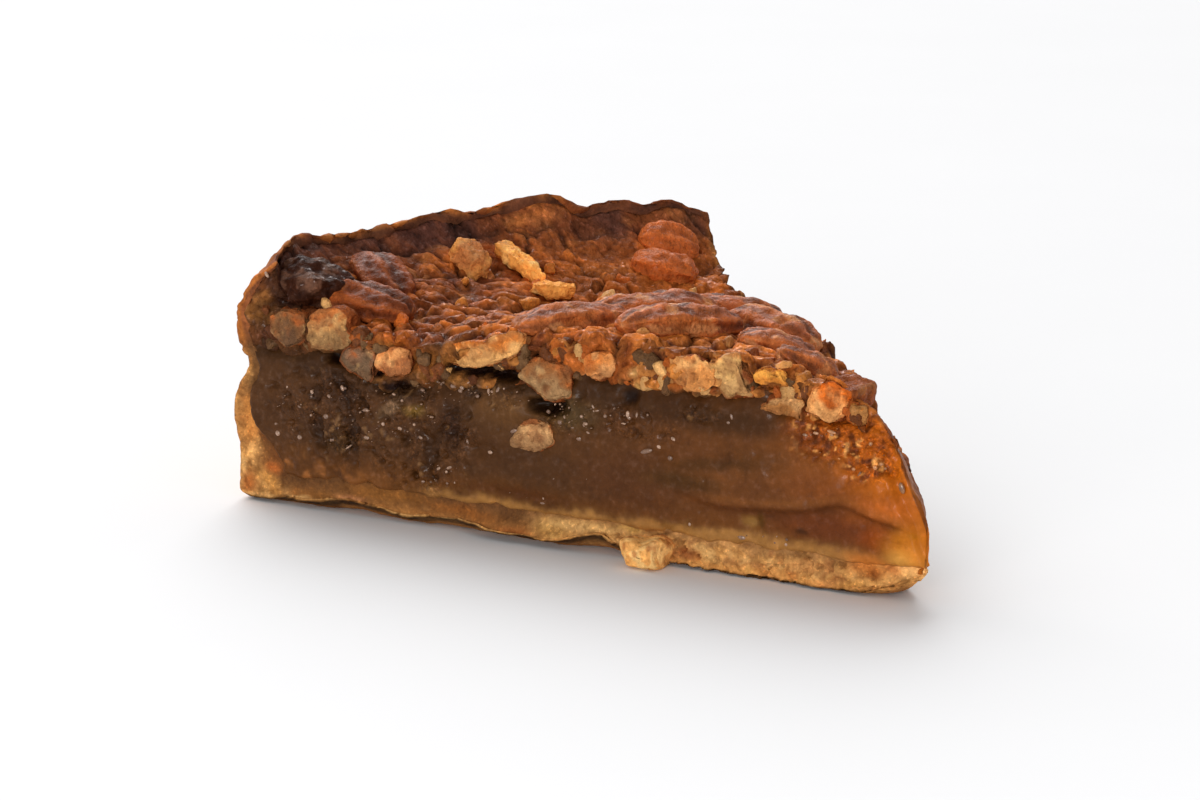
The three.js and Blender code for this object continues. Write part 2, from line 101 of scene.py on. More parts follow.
def rolling(points, pitch, seed):
    """Smooth noise from -1 to 1: the draws at a cell's eight corners, blended by the cubic step."""
    p = points / pitch
    cell = np.floor(p)
    t = p - cell
    t = t * t * (3 - 2 * t)
    total = 0
    for corner in np.ndindex(2, 2, 2):
        weight = np.prod(np.where(np.array(corner) == 1, t, 1 - t), axis=-1)
        total = total + weight * draw(cell + corner, seed)
    return 2 * total - 1


def rough(points, pitch, seed, octaves=3):
    """Rolling noise plus finer noise: each octave has half the pitch and half the height."""
    layers = [rolling(points, pitch / 2**i, seed + i) / 2**i for i in range(octaves)]
    return sum(layers) / 1.5


def spots(points, pitch, seed, low, high, octaves=3):
    """Spots of noise as a mask: the step of rough noise from low to high."""
    return step(rough(points, pitch, seed, octaves), low, high)


def cells(points, pitch, seed):
    """Packed grains: distances to the nearest two of scattered seeds, and the grain's own draw."""
    p = points / pitch
    home = np.floor(p)
    near = np.full(len(p), 9.0)
    second = near.copy()
    own = np.zeros(len(p))
    for shift in np.ndindex(3, 3, 3):
        cell = home + shift - 1
        spot = cell + np.stack([draw(cell, seed + axis) for axis in range(3)], axis=-1)
        gap = np.linalg.norm(spot - p, axis=-1)
        closer = gap < near
        second = np.where(closer, near, np.minimum(second, gap))
        own = np.where(closer, draw(cell, seed + 7), own)
        near = np.minimum(near, gap)
    return near, second, own


def seeded(seed):
    """A linear congruential series of numbers from 0 to 1."""
    state = seed
    while True:
        state = (state * 1664525 + 1013904223) % 4294967296
        yield state / 4294967296


# ------------------------------------------------------------------ form of the slice, in mm and degrees

RADIUS = 115.0  # from the tip to the wall's middle
HALF = 22.5  # half the slice's angle
TIP_RADIUS = 1.5
BELLY = 0.9  # how far the wall swells out low down
FLUTE_RELIEF = 0.9
TIP_X = (RADIUS + BELLY + FLUTE_RELIEF / 2 + TIP_RADIUS) / 2  # centres the slice's box
FLOOR_TOP = 5.4  # the baked base's thickness
WALL_FOOT = 6.2  # the wall's fillet isn't followed below this height
NUT_START = 11.5  # where the nut layer begins, from the tip
LAP_BELOW_RIM = 1.4
CUT_PROUD = 0.4  # how far the cut nuts stand out
TUCK = 1.6  # how far the filling and the nut layer reach into each other
GOLDEN = 0.618034  # the golden section, which spreads things evenly
SIDES = ("near", "far")
CORNER = 0.76  # the share of the crust's strip that runs along the base
FLUTES = (-21.5, -15.5, -8, -1, 6.5, 14.2, 20.5)
# Hollows under the cuts: distance from the tip, height, half length.
NEAR_HOLLOWS = ((95, 1.1, 4.5), (53, 1.5, 4), (75, 0.5, 6))
FAR_HOLLOWS = ((84, 1.2, 5), (60, 0.8, 4), (33, 1.3, 4))

near_edge = curve(
    (0.5, 7.5), (2.5, 12.5), (5, 18), (8, 23.5), (11, 27.3), (15, 29), (25, 30.3),
    (45, 30.8), (60, 30.2), (72, 28.4), (87, 27), (100, 29.5), (115, 31),
)
far_edge = curve(
    (0.5, 9), (5, 13.3), (11, 17.5), (18, 19.6), (27, 22.6), (40, 25.8), (62, 26.4),
    (75, 25.8), (90, 24.2), (103, 26.8), (115, 28.5),
)
rim_top = curve(
    (-22.5, 36.2), (-17, 38.3), (-12, 37.1), (-6, 37.3), (-1.2, 38.4), (1.6, 37.5), (7, 39.2), (9.3, 38.8),
    (11.5, 36.6), (14.5, 37.4), (16.8, 36.3), (19.4, 36.8), (22.5, 34.4),
)
rim_lean = curve((-22.5, 6.8), (-19.5, 3.6), (-16, 1.2), (-6, 0.6), (10, 0.5), (22.5, 0.4))


def place(r, angle, z):
    """Points from their distance to the tip, angle and height."""
    turn = np.radians(angle)
    return np.stack(np.broadcast_arrays(TIP_X - r * np.cos(turn), r * np.sin(turn), z), axis=-1)


def cut_frame(points, side):
    """Distance from the tip along a cut, height, and how far out of the cut each point stands."""
    sign = -1 if side == "near" else 1
    a = math.radians(HALF)
    x, y = points[..., 0] - TIP_X, sign * points[..., 1]
    return y * math.sin(a) - x * math.cos(a), points[..., 2], x * math.sin(a) + y * math.cos(a)


def cut_angle(side):
    """The angle at which a cut lies."""
    return -HALF if side == "near" else HALF


def cut_normal(side):
    """The direction that a cut faces."""
    a = math.radians(HALF)
    return np.array([math.sin(a), (-1 if side == "near" else 1) * math.cos(a), 0])


def flute(angle):
    """Pressed scallops round the wall: a sum of bells."""
    return FLUTE_RELIEF * (sum(bump(angle, at, 2.2) for at in FLUTES) - 0.5)


def wall_middle(z, angle):
    """The wall bellies low down, is pinched half way and leans in at the rim."""
    rise = np.maximum(0, (z - 28) / (rim_top(angle) - 28))
    return RADIUS + BELLY * bump(z, 12.5, 3) - 2.2 * bump(z, 20.6, 3) - rim_lean(angle) * rise**1.7


def outer_radius(z, angle):
    """The wall's outside."""
    return wall_middle(z, angle) + flute(angle)


def inner_radius(z, angle):
    """The wall's inside: 2.2 mm in at the foot, 1.4 mm at the rim, and a fillet down to the base."""
    thickness = 2.2 - 0.8 * step(z, 24, 34)
    return wall_middle(z, angle) - thickness - 7 * np.maximum(0, (18 - z) / 12.6) ** 1.6


def underside(r, angle):
    """The base lifts at the tip, and in a few shallow hollows along its cuts."""
    tip = 4.6 * np.maximum(0, 1 - r / 11) ** 1.7
    near = sum(height * bump(r, at, length) for at, height, length in NEAR_HOLLOWS)
    far = sum(height * bump(r, at, length) for at, height, length in FAR_HOLLOWS)
    near_reach = bump(r * np.sin(np.radians(angle + HALF)), 0, 2.6)
    far_reach = bump(r * np.sin(np.radians(HALF - angle)), 0, 2.6)
    return tip + near * near_reach + far * far_reach


def ripple(x, y, pitch, seed):
    """The mean of three crossed sine waves."""
    turn = 2 * math.pi / pitch
    a = np.sin(turn * (0.8 * x + 0.6 * y) + seed)
    b = np.sin(turn * (-0.5 * x + 0.9 * y) * 1.1 + 2.1 * seed)
    c = np.sin(turn * (0.3 * x - 1.0 * y) * 0.7 + 3.7 * seed)
    return (a + b + c) / 3


def floor_top(r, angle):
    """The baked base's top, rolling a little."""
    return FLOOR_TOP + 0.3 * ripple(r, 0.02 * r * angle, 23, 1.3) + 0.8 * bump(r, 0, 5)


def plain_top(r, angle):
    """The top between its two cut edges, blended across the slice with a slight dome."""
    across = (angle + HALF) / (2 * HALF)
    blend = across * across * (3 - 2 * across)
    return near_edge(r) * (1 - blend) + far_edge(r) * blend + 1.2 * np.sin(np.pi * across)


def lap_height(angle):
    """How high the caramel climbs the rim."""
    return rim_top(angle) - LAP_BELOW_RIM


def climb(r, angle):
    """1 at the rim, falling to 0 on the open top as e to a power of the distance."""
    to_rim = np.maximum(0, inner_radius(lap_height(angle), angle) - r)
    reach = 4.5 - 2.3 * step(angle, 15, HALF)
    return np.exp(-((to_rim / reach) ** 1.4))


def full_top(r, angle):
    """The top with the caramel's climb up the rim."""
    level = plain_top(r, angle)
    return level + (lap_height(angle) - level) * climb(r, angle)


def nut_layer_bottom(r, angle):
    """The layer is 4.6 mm deep at the tip and 6.2 mm further back."""
    depth = 4.6 + 1.6 * step(r, NUT_START, 4 * NUT_START)
    return plain_top(np.minimum(r, 100), angle) - depth


# ------------------------------------------------------------------ closed surfaces


def lattice(us, vs, ws):
    """The skin of a box of stations: six grids, each over two of three parameters, that share their edges.

    Faces look outwards where u, v and w are right-handed."""
    shape = (len(us), len(vs), len(ws))
    number = np.indices(shape)
    last = np.array(shape).reshape(3, 1, 1, 1) - 1
    skin = ((number == 0) | (number == last)).any(axis=0)
    ids = np.full(shape, -1)
    ids[skin] = np.arange(skin.sum())
    i, j, k = np.nonzero(skin)
    quads = []
    for axis in range(3):
        for end in (0, -1):
            grid = np.take(ids, end, axis=axis)
            quad = np.stack([grid[:-1, :-1], grid[1:, :-1], grid[1:, 1:], grid[:-1, 1:]], axis=-1)
            quad = quad.reshape(-1, 4)
            quads.append(quad[:, ::-1] if (end == 0) != (axis == 1) else quad)
    return us[i], vs[j], ws[k], np.concatenate(quads)


def spaced(count, fine_at_ends=0.0):
    """Stations from 0 to 1, drawn towards both ends by a sine."""
    t = np.linspace(0, 1, count)
    return t - fine_at_ends * np.sin(2 * np.pi * t) / (2 * np.pi)


def normals(points, quads):
    """Vertex normals: the sum of the crossed diagonals of the faces round a point."""
    a, b, c, d = (points[quads[:, i]] for i in range(4))
    face = np.cross(c - a, d - b)
    total = np.zeros_like(points)
    for i in range(4):
        for axis in range(3):
            total[:, axis] += np.bincount(quads[:, i], face[:, axis], len(points))
    return total / np.maximum(np.linalg.norm(total, axis=1, keepdims=True), 1e-12)


def add_piece(name, shells, paint, nodes):
    """Joins closed shells, each (points in mm, quads, values by name), into one smooth mesh at the origin."""
    starts = np.cumsum([0] + [len(points) for points, _, _ in shells])
    points = np.concatenate([points for points, _, _ in shells]) * MM
    quads = np.concatenate([quads + start for (_, quads, _), start in zip(shells, starts)])
    mesh = bpy.data.meshes.new(name)
    mesh.from_pydata(points, [], quads)
    mesh.polygons.foreach_set("use_smooth", np.ones(len(quads), bool))
    for key in shells[0][2]:
        values = np.concatenate([v[key] for _, _, v in shells]).astype(np.float32)
        if values.ndim == 2:
            values = np.column_stack([np.clip(values, 0, 1), np.ones(len(values), np.float32)])
            mesh.attributes.new(key, "FLOAT_COLOR", "POINT").data.foreach_set("color", values.ravel())
        else:
            mesh.attributes.new(key, "FLOAT", "POINT").data.foreach_set("value", values)
    mesh.materials.append(paint)
    mesh.update()
    made = bpy.data.objects.new(name, mesh)
    bpy.context.scene.collection.objects.link(made)
    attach(made, "root")
    if nodes:
        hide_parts(*nodes)
    return made


def lay(tint, *layers):
    """Blends layers into the points' colours in turn, each a mask from 0 to 1 and its colour."""
    for mask, colour in layers:
        tint += np.broadcast_to(mask, len(tint))[:, None] * (np.array(colour)[..., :3] - tint)


def plain_tint(colour, count):
    """One colour at every point."""
    return np.tile(np.array(colour)[:3], (count, 1))


# ------------------------------------------------------------------ shader expressions


class Wire:
    """A shader socket in a Python expression: arithmetic adds Math nodes, and node() adds any other."""

    def __init__(self, tree, socket=None):
        self.tree, self.socket = tree, socket

    def node(self, kind, settings=None, sockets=None, out=0):
        """Adds a node, sets its settings, then its sockets' values or links."""
        made = self.tree.nodes.new(kind)
        for key, value in (settings or {}).items():
            setattr(made, key, value)
        for key, value in (sockets or {}).items():
            if isinstance(value, Wire):
                self.tree.links.new(value.socket, made.inputs[key])
            else:
                made.inputs[key].default_value = value
        return Wire(self.tree, made.outputs[out] if made.outputs else None)

    def math(self, operation, *values):
        return self.node("ShaderNodeMath", {"operation": operation}, dict(enumerate(values)))

    def __add__(self, other):
        return self.math("ADD", self, other)

    __radd__ = __add__

    def __rsub__(self, other):
        return self.math("SUBTRACT", other, self)

    def __mul__(self, other):
        return self.math("MULTIPLY", self, other)

    __rmul__ = __mul__

    def step(self, low, high, start=0.0, end=1.0):
        """The smooth step from start to end as this value goes from low to high."""
        sockets = {0: self, 1: low, 2: high, 3: start, 4: end}
        return self.node("ShaderNodeMapRange", {"interpolation_type": "SMOOTHSTEP"}, sockets)

    def mix(self, first, second, how="MIX", share=None):
        """Blends two colours by this factor, or by a plain share."""
        settings = {"data_type": "RGBA", "blend_type": how, "clamp_factor": True}
        sockets = {0: self if share is None else share, 6: first, 7: second}
        return self.node("ShaderNodeMix", settings, sockets, out=2)


class Paint:
    """A material under construction: its object coordinates, masks, noises and final surface."""

    def __init__(self, name):
        self.material = bpy.data.materials.new(name)
        self.material.use_nodes = True
        self.material.node_tree.nodes.clear()
        self.root = Wire(self.material.node_tree)
        self.spot = self.root.node("ShaderNodeTexCoord", out=3)

    def mask(self, name):
        """A piece's own number at each point."""
        return self.root.node("ShaderNodeAttribute", {"attribute_name": name}, out=2)

    def tint(self):
        """A piece's own colour at each point."""
        return self.root.node("ShaderNodeAttribute", {"attribute_name": "tint"})

    def noise(self, pitch, detail, stretch=None):
        """Cloudy noise from 0 to 1, its features about a pitch in millimetres across."""
        spot = self.spot
        if stretch:
            spot = self.root.node("ShaderNodeMapping", None, {"Vector": spot, "Scale": stretch})
        sockets = {"Vector": spot, "Scale": 1 / (pitch * MM), "Detail": detail}
        return self.root.node("ShaderNodeTexNoise", None, sockets)

    def grains(self, pitch, out=0):
        """Packed cells about a pitch in millimetres across: their distance, or with out 1 their colours."""
        sockets = {"Vector": self.spot, "Scale": 1 / (pitch * MM)}
        return self.root.node("ShaderNodeTexVoronoi", None, sockets, out)

    def flecked(self, colour, warmth, *layers):
        """A colour through a warm filter, then flecked. Each layer: noise, start and full, share, gain."""
        colour = self.root.mix(colour, (*warmth, 1), "MULTIPLY", 1.0)
        for noise, start, full, share, gain in layers:
            colour = (noise.step(start, full) * share).mix(colour, (*gain, 1), "MULTIPLY")
        return colour

    def bumped(self, height, depth, strength):
        """A normal from a height, whose full range stands for a depth in millimetres."""
        sockets = {"Strength": strength, "Distance": depth * MM, "Height": height}
        return self.root.node("ShaderNodeBump", None, sockets)

    def surface(self, colour, roughness, normal, plain):
        """The finished surface. plain holds the sockets that are the same all over, and a coat's weight."""
        sockets = {"Base Color": colour, "Roughness": roughness, "Normal": normal, **plain}
        shader = self.root.node("ShaderNodeBsdfPrincipled", {"subsurface_method": "RANDOM_WALK"}, sockets)
        self.root.node("ShaderNodeOutputMaterial", None, {"Surface": shader})
        return self.material


def rgb(*levels):
    """A linear colour from sRGB levels of 0 to 255."""
    share = [level / 255 for level in levels]
    linear = [c / 12.92 if c <= 0.04045 else ((c + 0.055) / 1.055) ** 2.4 for c in share]
    return (*linear, 1.0)


# ------------------------------------------------------------------ settings


def colour(label, about, *levels):
    """A colour setting whose default is given in sRGB levels."""
    return FloatVectorProperty(
        name=label, description=about, subtype="COLOR", size=4, min=0, max=1, default=rgb(*levels)
    )


class PieSettings(bpy.types.PropertyGroup):
    """Sizes and colours of the slice's finish."""

    crumb_relief: FloatProperty(
        name="Crumb relief", description="Height of the crumbs on the cuts, in millimetres",
        default=0.5, min=0,
    )
    nut_bed_count: IntProperty(
        name="Nuts in the caramel", description="Nuts that lie under the caramel of the top",
        default=380, min=0,
    )
    chopped_count: IntProperty(
        name="Chopped nuts", description="Small pieces of nut that stand out of the caramel",
        default=40, min=0,
    )
    chip_count: IntProperty(
        name="Bits in the near cut", description="Small bits of nut broken by the knife",
        default=190, min=0,
    )
    crust_gold: colour("Crust", "Baked shortcrust", 202, 146, 88)
    crust_brown: colour("Browned crust", "Edges and foot of the crust", 146, 88, 44)
    crumb_pale: colour("Pale crumb", "Broken shortcrust", 232, 186, 124)
    crumb_soaked: colour("Soaked crust", "Crust that has taken up syrup", 152, 98, 52)
    filling_brown: colour("Filling", "Set filling away from the tip", 82, 55, 38)
    filling_dark: colour("Dark filling", "Shaded streaks and pits in the filling", 44, 26, 18)
    filling_gel: colour("Clear filling", "Smooth filling towards the tip", 114, 72, 44)
    filling_amber: colour("Amber filling", "Thin filling at the tip", 216, 124, 32)
    caramel_red: colour("Caramel", "Baked caramel on the top", 150, 80, 42)
    # Burnt caramel, also laid as painted shade in the grooves of nuts and the seams of the caramel's cut.
    burnt_caramel_and_crevice_shade: colour("Dark caramel", "Burnt caramel and painted crevice shade", 54, 27, 17)
    caramel_orange: colour("Orange caramel", "Lit edges of the caramel", 192, 108, 48)
    nut_skin: colour("Pecan skin", "Skin of the pecans", 134, 68, 36)
    floor: colour("Floor", "Table under the slice", 234, 234, 235)


# ------------------------------------------------------------------ materials


# By how much flecks scale red, green and blue.
PALE = (1.9, 1.85, 1.8)
LIGHT = (1.45, 1.42, 1.36)
DULL = (0.6, 0.55, 0.5)
DARK = (0.34, 0.28, 0.25)


def crust_paint():
    """Dry crumb: sandy grit in two sizes over slow browning, with painted shade between the grains of a broken
    face.
    """
    p = Paint("shortcrust")
    slow, mid, grit, gap = p.noise(5, 3), p.noise(1.6, 5), p.noise(0.5, 4), p.grains(0.9)
    crumbly = p.mask("crumbly")
    colour = p.flecked(
        p.tint(), (1, 0.95, 0.82),
        (slow, 0.5, 0.75, 0.5, LIGHT), (slow, 0.5, 0.25, 0.5, DULL),
        (mid, 0.52, 0.72, 0.6, LIGHT), (mid, 0.48, 0.3, 0.7, DULL),
        (grit, 0.54, 0.72, 0.25 + 0.4 * crumbly, PALE), (grit, 0.46, 0.3, 0.5, DULL),
        # Painted shade between the grains of a broken face.
        (gap, 0.4, 0.8, 0.6 * crumbly, DULL),
    )
    height = mid * 0.5 + grit * 0.4 + (1 - gap) * crumbly * 0.7
    plain = {"Specular IOR Level": 0.1}
    return p.surface(colour, grit.step(0.2, 0.8, 0.65, 0.95), p.bumped(height, 0.6, 0.9), plain)


def filling_paint():
    """Set syrup: soft streaks drawn along the cut, grainy where bubbles have set, with painted glints and
    painted shade in the pits there, and a dull wet sheen.
    """
    p = Paint("set filling")
    streak, mid = p.noise(5, 3, (0.4, 0.4, 1.3)), p.noise(2.0, 4)
    fine, speck = p.noise(0.8, 4), p.noise(0.35, 3)
    bubbly_glints_and_shade, gap = p.mask("bubbly_glints_and_shade"), p.grains(0.8)
    colour = p.flecked(
        p.tint(), (0.88, 0.73, 0.42),
        (streak, 0.42, 0.68, 0.4, DULL), (mid, 0.52, 0.72, 0.4, LIGHT), (mid, 0.48, 0.3, 0.3, DULL),
        # Where bubbles have set, pale flecks are painted glints and the dark between the grains is painted
        # shade in the pits.
        (fine, 0.52, 0.72, 0.2 + 0.7 * bubbly_glints_and_shade, PALE), (fine, 0.48, 0.32, 0.2 + 0.5 * bubbly_glints_and_shade, DULL),
        (gap, 0.5, 0.85, 0.6 * bubbly_glints_and_shade, DARK), (speck, 0.54, 0.68, bubbly_glints_and_shade, PALE),
    )
    height = fine * 0.3 + mid * 0.2 + (speck * 0.4 + (1 - gap) * 1.2) * bubbly_glints_and_shade
    sheen = fine.step(0.5, 0.75, 0.02, 0.35)
    plain = {"Specular IOR Level": 0.08, "Coat Roughness": 0.12, "Coat Weight": sheen}
    return p.surface(colour, fine.step(0.3, 0.7, 0.3, 0.55), p.bumped(height, 0.4, 0.9), plain)


def caramel_paint():
    """Baked caramel: sugar grains of a millimetre over larger freckles, pale fine flecks as painted glints and
    painted shade between the grains, glossy where it has run smooth.
    """
    p = Paint("baked caramel")
    grain, mid, fine, gap = p.grains(1.2, out=1), p.noise(2.4, 5), p.noise(0.7, 4), p.grains(1.2)
    colour = p.flecked(
        p.tint(), (1, 0.93, 0.74),
        (grain, 0.5, 0.85, 0.6, LIGHT), (mid, 0.52, 0.72, 0.7, LIGHT), (mid, 0.47, 0.3, 0.8, DULL),
        # Pale fine flecks are painted glints; the dark between the grains is painted shade.
        (fine, 0.55, 0.72, 0.7, PALE), (fine, 0.45, 0.3, 0.8, DULL), (gap, 0.42, 0.8, 0.6, DULL),
    )
    height = mid * 0.5 + fine * 0.5 + (1 - gap) * 0.4
    sheen = fine.step(0.56, 0.68, 0.01, 0.45)
    plain = {"Specular IOR Level": 0.06, "Coat Roughness": 0.14, "Coat Weight": sheen}
    return p.surface(colour, mid.step(0.35, 0.65, 0.4, 0.7), p.bumped(height, 0.9, 1.0), plain)


def nut_paint(name, gloss):
    """Pecan: grainy flesh or skin in its own colour, freckled light and dark, under a thin glaze."""
    p = Paint(name)
    slow, mid, fine = p.noise(3.5, 3), p.noise(1.4, 5), p.noise(0.45, 4)
    colour = p.flecked(
        p.tint(), (1.12, 1.05, 0.92),
        (slow, 0.5, 0.3, 0.5, DULL), (mid, 0.52, 0.74, 0.6, LIGHT), (mid, 0.47, 0.28, 0.8, DULL),
        (fine, 0.55, 0.75, 0.6, PALE), (fine, 0.45, 0.28, 0.7, DULL),
    )
    height = mid * 0.7 + fine * 0.6
    sheen = mid.step(0.4, 0.65, 0.2 * gloss, gloss)
    plain = {"Specular IOR Level": 0.1, "Coat Roughness": 0.2, "Coat Weight": sheen}
    return p.surface(colour, fine.step(0.3, 0.7, 0.45, 0.75), p.bumped(height, 0.9, 1.0), plain)


def glint_bead_paint():
    """Glint beads: clear, pale domes that stand in for glints of light, painted highlights."""
    p = Paint("painted glint bead")
    fine = p.noise(0.4, 3)
    colour = p.flecked(p.tint(), (1, 0.9, 0.8), (fine, 0.4, 0.6, 0.8, DULL))
    plain = {"Specular IOR Level": 0.5, "Coat Weight": 0.5, "Coat Roughness": 0.1}
    return p.surface(colour, fine.step(0.3, 0.7, 0.15, 0.4), p.bumped(fine, 0.12, 0.6), plain)


# ------------------------------------------------------------------ relief and colour of the cuts

# Gaps in a cut, sunk into its relief and painted dark as shade: distance from the tip, height, half length,
# half height, depth.
NEAR_GAPS = (
    (71.8, 24.1, 6.3, 0.75, 3.4), (61.6, 20.3, 2.7, 1.1, 3.0), (90.1, 22.8, 1.0, 1.6, 2.6),
    (97.3, 23.2, 1.7, 0.8, 2.6), (103, 31.0, 5.6, 0.9, 3.4), (98.6, 30.8, 1.6, 1.1, 3.0),
    (14.5, 24.0, 4.6, 0.7, 1.6), (62.6, 27.6, 1.1, 0.8, 2.6), (47.5, 23.4, 1.6, 1.5, 1.6),
    (43.2, 29.0, 1.3, 1.6, 1.1), (20.1, 25.8, 1.2, 0.6, 2.0), (9.9, 26.0, 0.7, 0.8, 1.4),
    (86.5, 20.4, 3.0, 0.8, 1.4), (77.0, 15.4, 1.3, 2.6, 0.8), (37.8, 30.4, 1.8, 0.5, 1.2),
    (28.2, 28.4, 0.8, 0.7, 1.4),
)
FAR_GAPS = (
    (75, 20.4, 5, 0.8, 2.8), (46, 20.6, 3, 0.9, 2.4), (90, 20.2, 3, 1, 2.4), (61, 20.2, 2.4, 0.9, 2.4),
    (102, 25.4, 3.6, 0.8, 2.6), (30, 20.4, 2.2, 0.7, 1.6),
)
# Where bubbles have set in the filling: distance from the tip, height, half length, half height.
NEAR_BUBBLY = (
    (69, 21.5, 8, 2.6), (57, 19.8, 6.5, 3.4), (97, 15, 14, 8), (82, 10, 9, 5), (16, 20.5, 6, 3),
    (46, 20, 7, 2.8), (86, 18, 8, 4), (36, 22.5, 4, 1.4), (9, 19, 4, 3), (76, 15, 4, 5),
)
FAR_BUBBLY = ((84, 13, 12, 5), (50, 16, 14, 3), (22, 13, 6, 3))
# Where the near cut's filling is grainy with sugar, in the same order.
SUGARED = ((16, 22, 6.5, 3.4), (10.2, 20.4, 3.8, 4.4))
# The height of the lap that the knife has dragged in the filling, by distance from the tip.
knife_lap = curve((4, 10.3), (10, 11.5), (14, 12.5), (20, 11), (32, 10), (36, 10.3), (42, 12))

# Pale crumb and nut flesh.
CREAM = rgb(238, 190, 130)

# Patches of colour on the near cut, a few of them painted shade or glow as marked: distance from the tip,
# height, half length, half height, turn, levels.
FILLING_PATCHES = (
    (24, 14, 12, 6, 0, (114, 73, 46)), (15, 14.5, 8, 3.2, 0, (134, 79, 45)), (47, 12, 9, 5, 0, (88, 55, 37)),
    (97, 11, 3.4, 2.0, 0, (66, 46, 22)), (86.5, 20, 6, 1.4, 0, (44, 30, 22)),
    # The first patch on the next line, at 77 mm, is painted shade in a hollow of the cut.
    (77, 15.4, 1.8, 3.4, 0, (50, 31, 25)), (87.8, 17, 2.8, 0.9, -36, (134, 112, 104)),
    (83.5, 17.2, 2.0, 0.9, 0, (112, 92, 48)), (57, 20, 4.6, 2.4, 0, (82, 70, 54)),
    (39, 12.6, 7, 1.4, 0, (76, 52, 26)), (33, 21.6, 9, 2.0, 0, (58, 38, 22)),
    (28, 17, 5, 1.8, 8, (92, 58, 32)), (34, 15.6, 7, 1.0, -8, (78, 52, 28)),
    (20, 10, 12, 2.0, 0, (92, 54, 30)), (14.5, 9, 9, 2.3, 0, (112, 60, 36)),
    (28.3, 8.4, 1.1, 0.9, 20, (152, 120, 78)), (26.6, 8.6, 0.7, 1.3, 0, (84, 60, 20)),
    (20, 8, 0.7, 0.5, 0, (56, 34, 22)), (15.5, 18.6, 6, 1.3, 6, (118, 68, 24)),
    (9, 18.6, 5.2, 4.6, 20, (198, 112, 26)), (12.2, 21, 2.2, 1.6, 0, (198, 116, 32)),
    (6.5, 12.6, 6, 2.0, -8, (194, 108, 48)), (8.6, 8.4, 2.8, 1.9, 0, (152, 76, 22)),
    # The first patch on the next line, at 3.4 mm and height 8, is a painted glow of light through the thin tip.
    (3.4, 8.0, 3.8, 2.6, 0, (240, 158, 52)), (3.0, 6.0, 3.8, 1.5, 0, (255, 206, 128)),
    (10, 5.4, 3.6, 1.0, 0, (214, 136, 74)), (2.2, 7.2, 1.9, 1.3, 0, (238, 170, 92)),
    (3.2, 9.4, 0.8, 0.5, 0, (176, 130, 14)), (66, 7.2, 8, 1.0, 0, (86, 50, 24)),
)
CRUST_PATCHES = (
    (113.2, 12.5, 1.7, 3.4, 0, (214, 142, 74)), (110.4, 11, 1.6, 3.6, 14, (106, 64, 34)),
    (110.2, 6.2, 3.0, 2.2, 0, (136, 84, 44)), (110, 3.2, 2.4, 1.4, 40, (214, 152, 82)),
    (113.6, 2.6, 1.5, 1.8, 0, (170, 92, 40)), (107.6, 7.4, 2.2, 1.6, 30, (116, 70, 38)),
    (108.8, 5.4, 1.4, 0.9, 0, (196, 110, 54)), (112.8, 7.2, 1.2, 2.0, 20, (234, 176, 112)),
    (104, 1.3, 2.6, 0.5, 0, (238, 190, 130)), (99.6, 2.0, 4.4, 1.1, 0, (118, 76, 38)),
    (95, 2.6, 2.4, 0.5, 0, (190, 130, 92)), (88, 4.0, 8, 1.2, 0, (142, 92, 44)),
    (75, 3.2, 6, 1.0, 4, (136, 82, 38)), (66, 1.6, 3, 0.7, 0, (160, 94, 48)),
    (60, 3, 2.6, 1.2, 0, (204, 156, 92)), (55, 3.8, 7, 0.8, 0, (224, 178, 118)),
    (47.5, 4.6, 2.0, 0.5, 0, (214, 170, 100)), (38.4, 2.0, 2.2, 1.1, 0, (138, 66, 30)),
    (42.4, 4.3, 2.0, 0.45, -24, (82, 48, 26)), (35, 2.6, 2.0, 0.8, 25, (218, 174, 116)),
    (28.4, 1, 0.8, 0.7, 0, (224, 172, 98)), (22, 1.4, 1.1, 0.8, 0, (194, 110, 50)),
    (25, 1.2, 4, 0.6, 0, (216, 152, 88)), (12, 1.6, 1.8, 0.5, -20, (232, 170, 96)),
    (10, 4.2, 3.4, 1.3, 0, (196, 114, 48)), (20, 3, 4, 0.9, 0, (216, 156, 98)),
    (9.4, 3.6, 1.0, 0.8, 0, (152, 84, 36)), (6.6, 4.4, 1.3, 0.8, 30, (200, 106, 42)),
    (10.6, 6, 1.1, 0.9, 0, (206, 148, 98)), (3.2, 4.4, 3.4, 1.5, 0, (238, 178, 112)),
    (17, 1.0, 2.4, 0.5, 0, (210, 150, 92)),
)
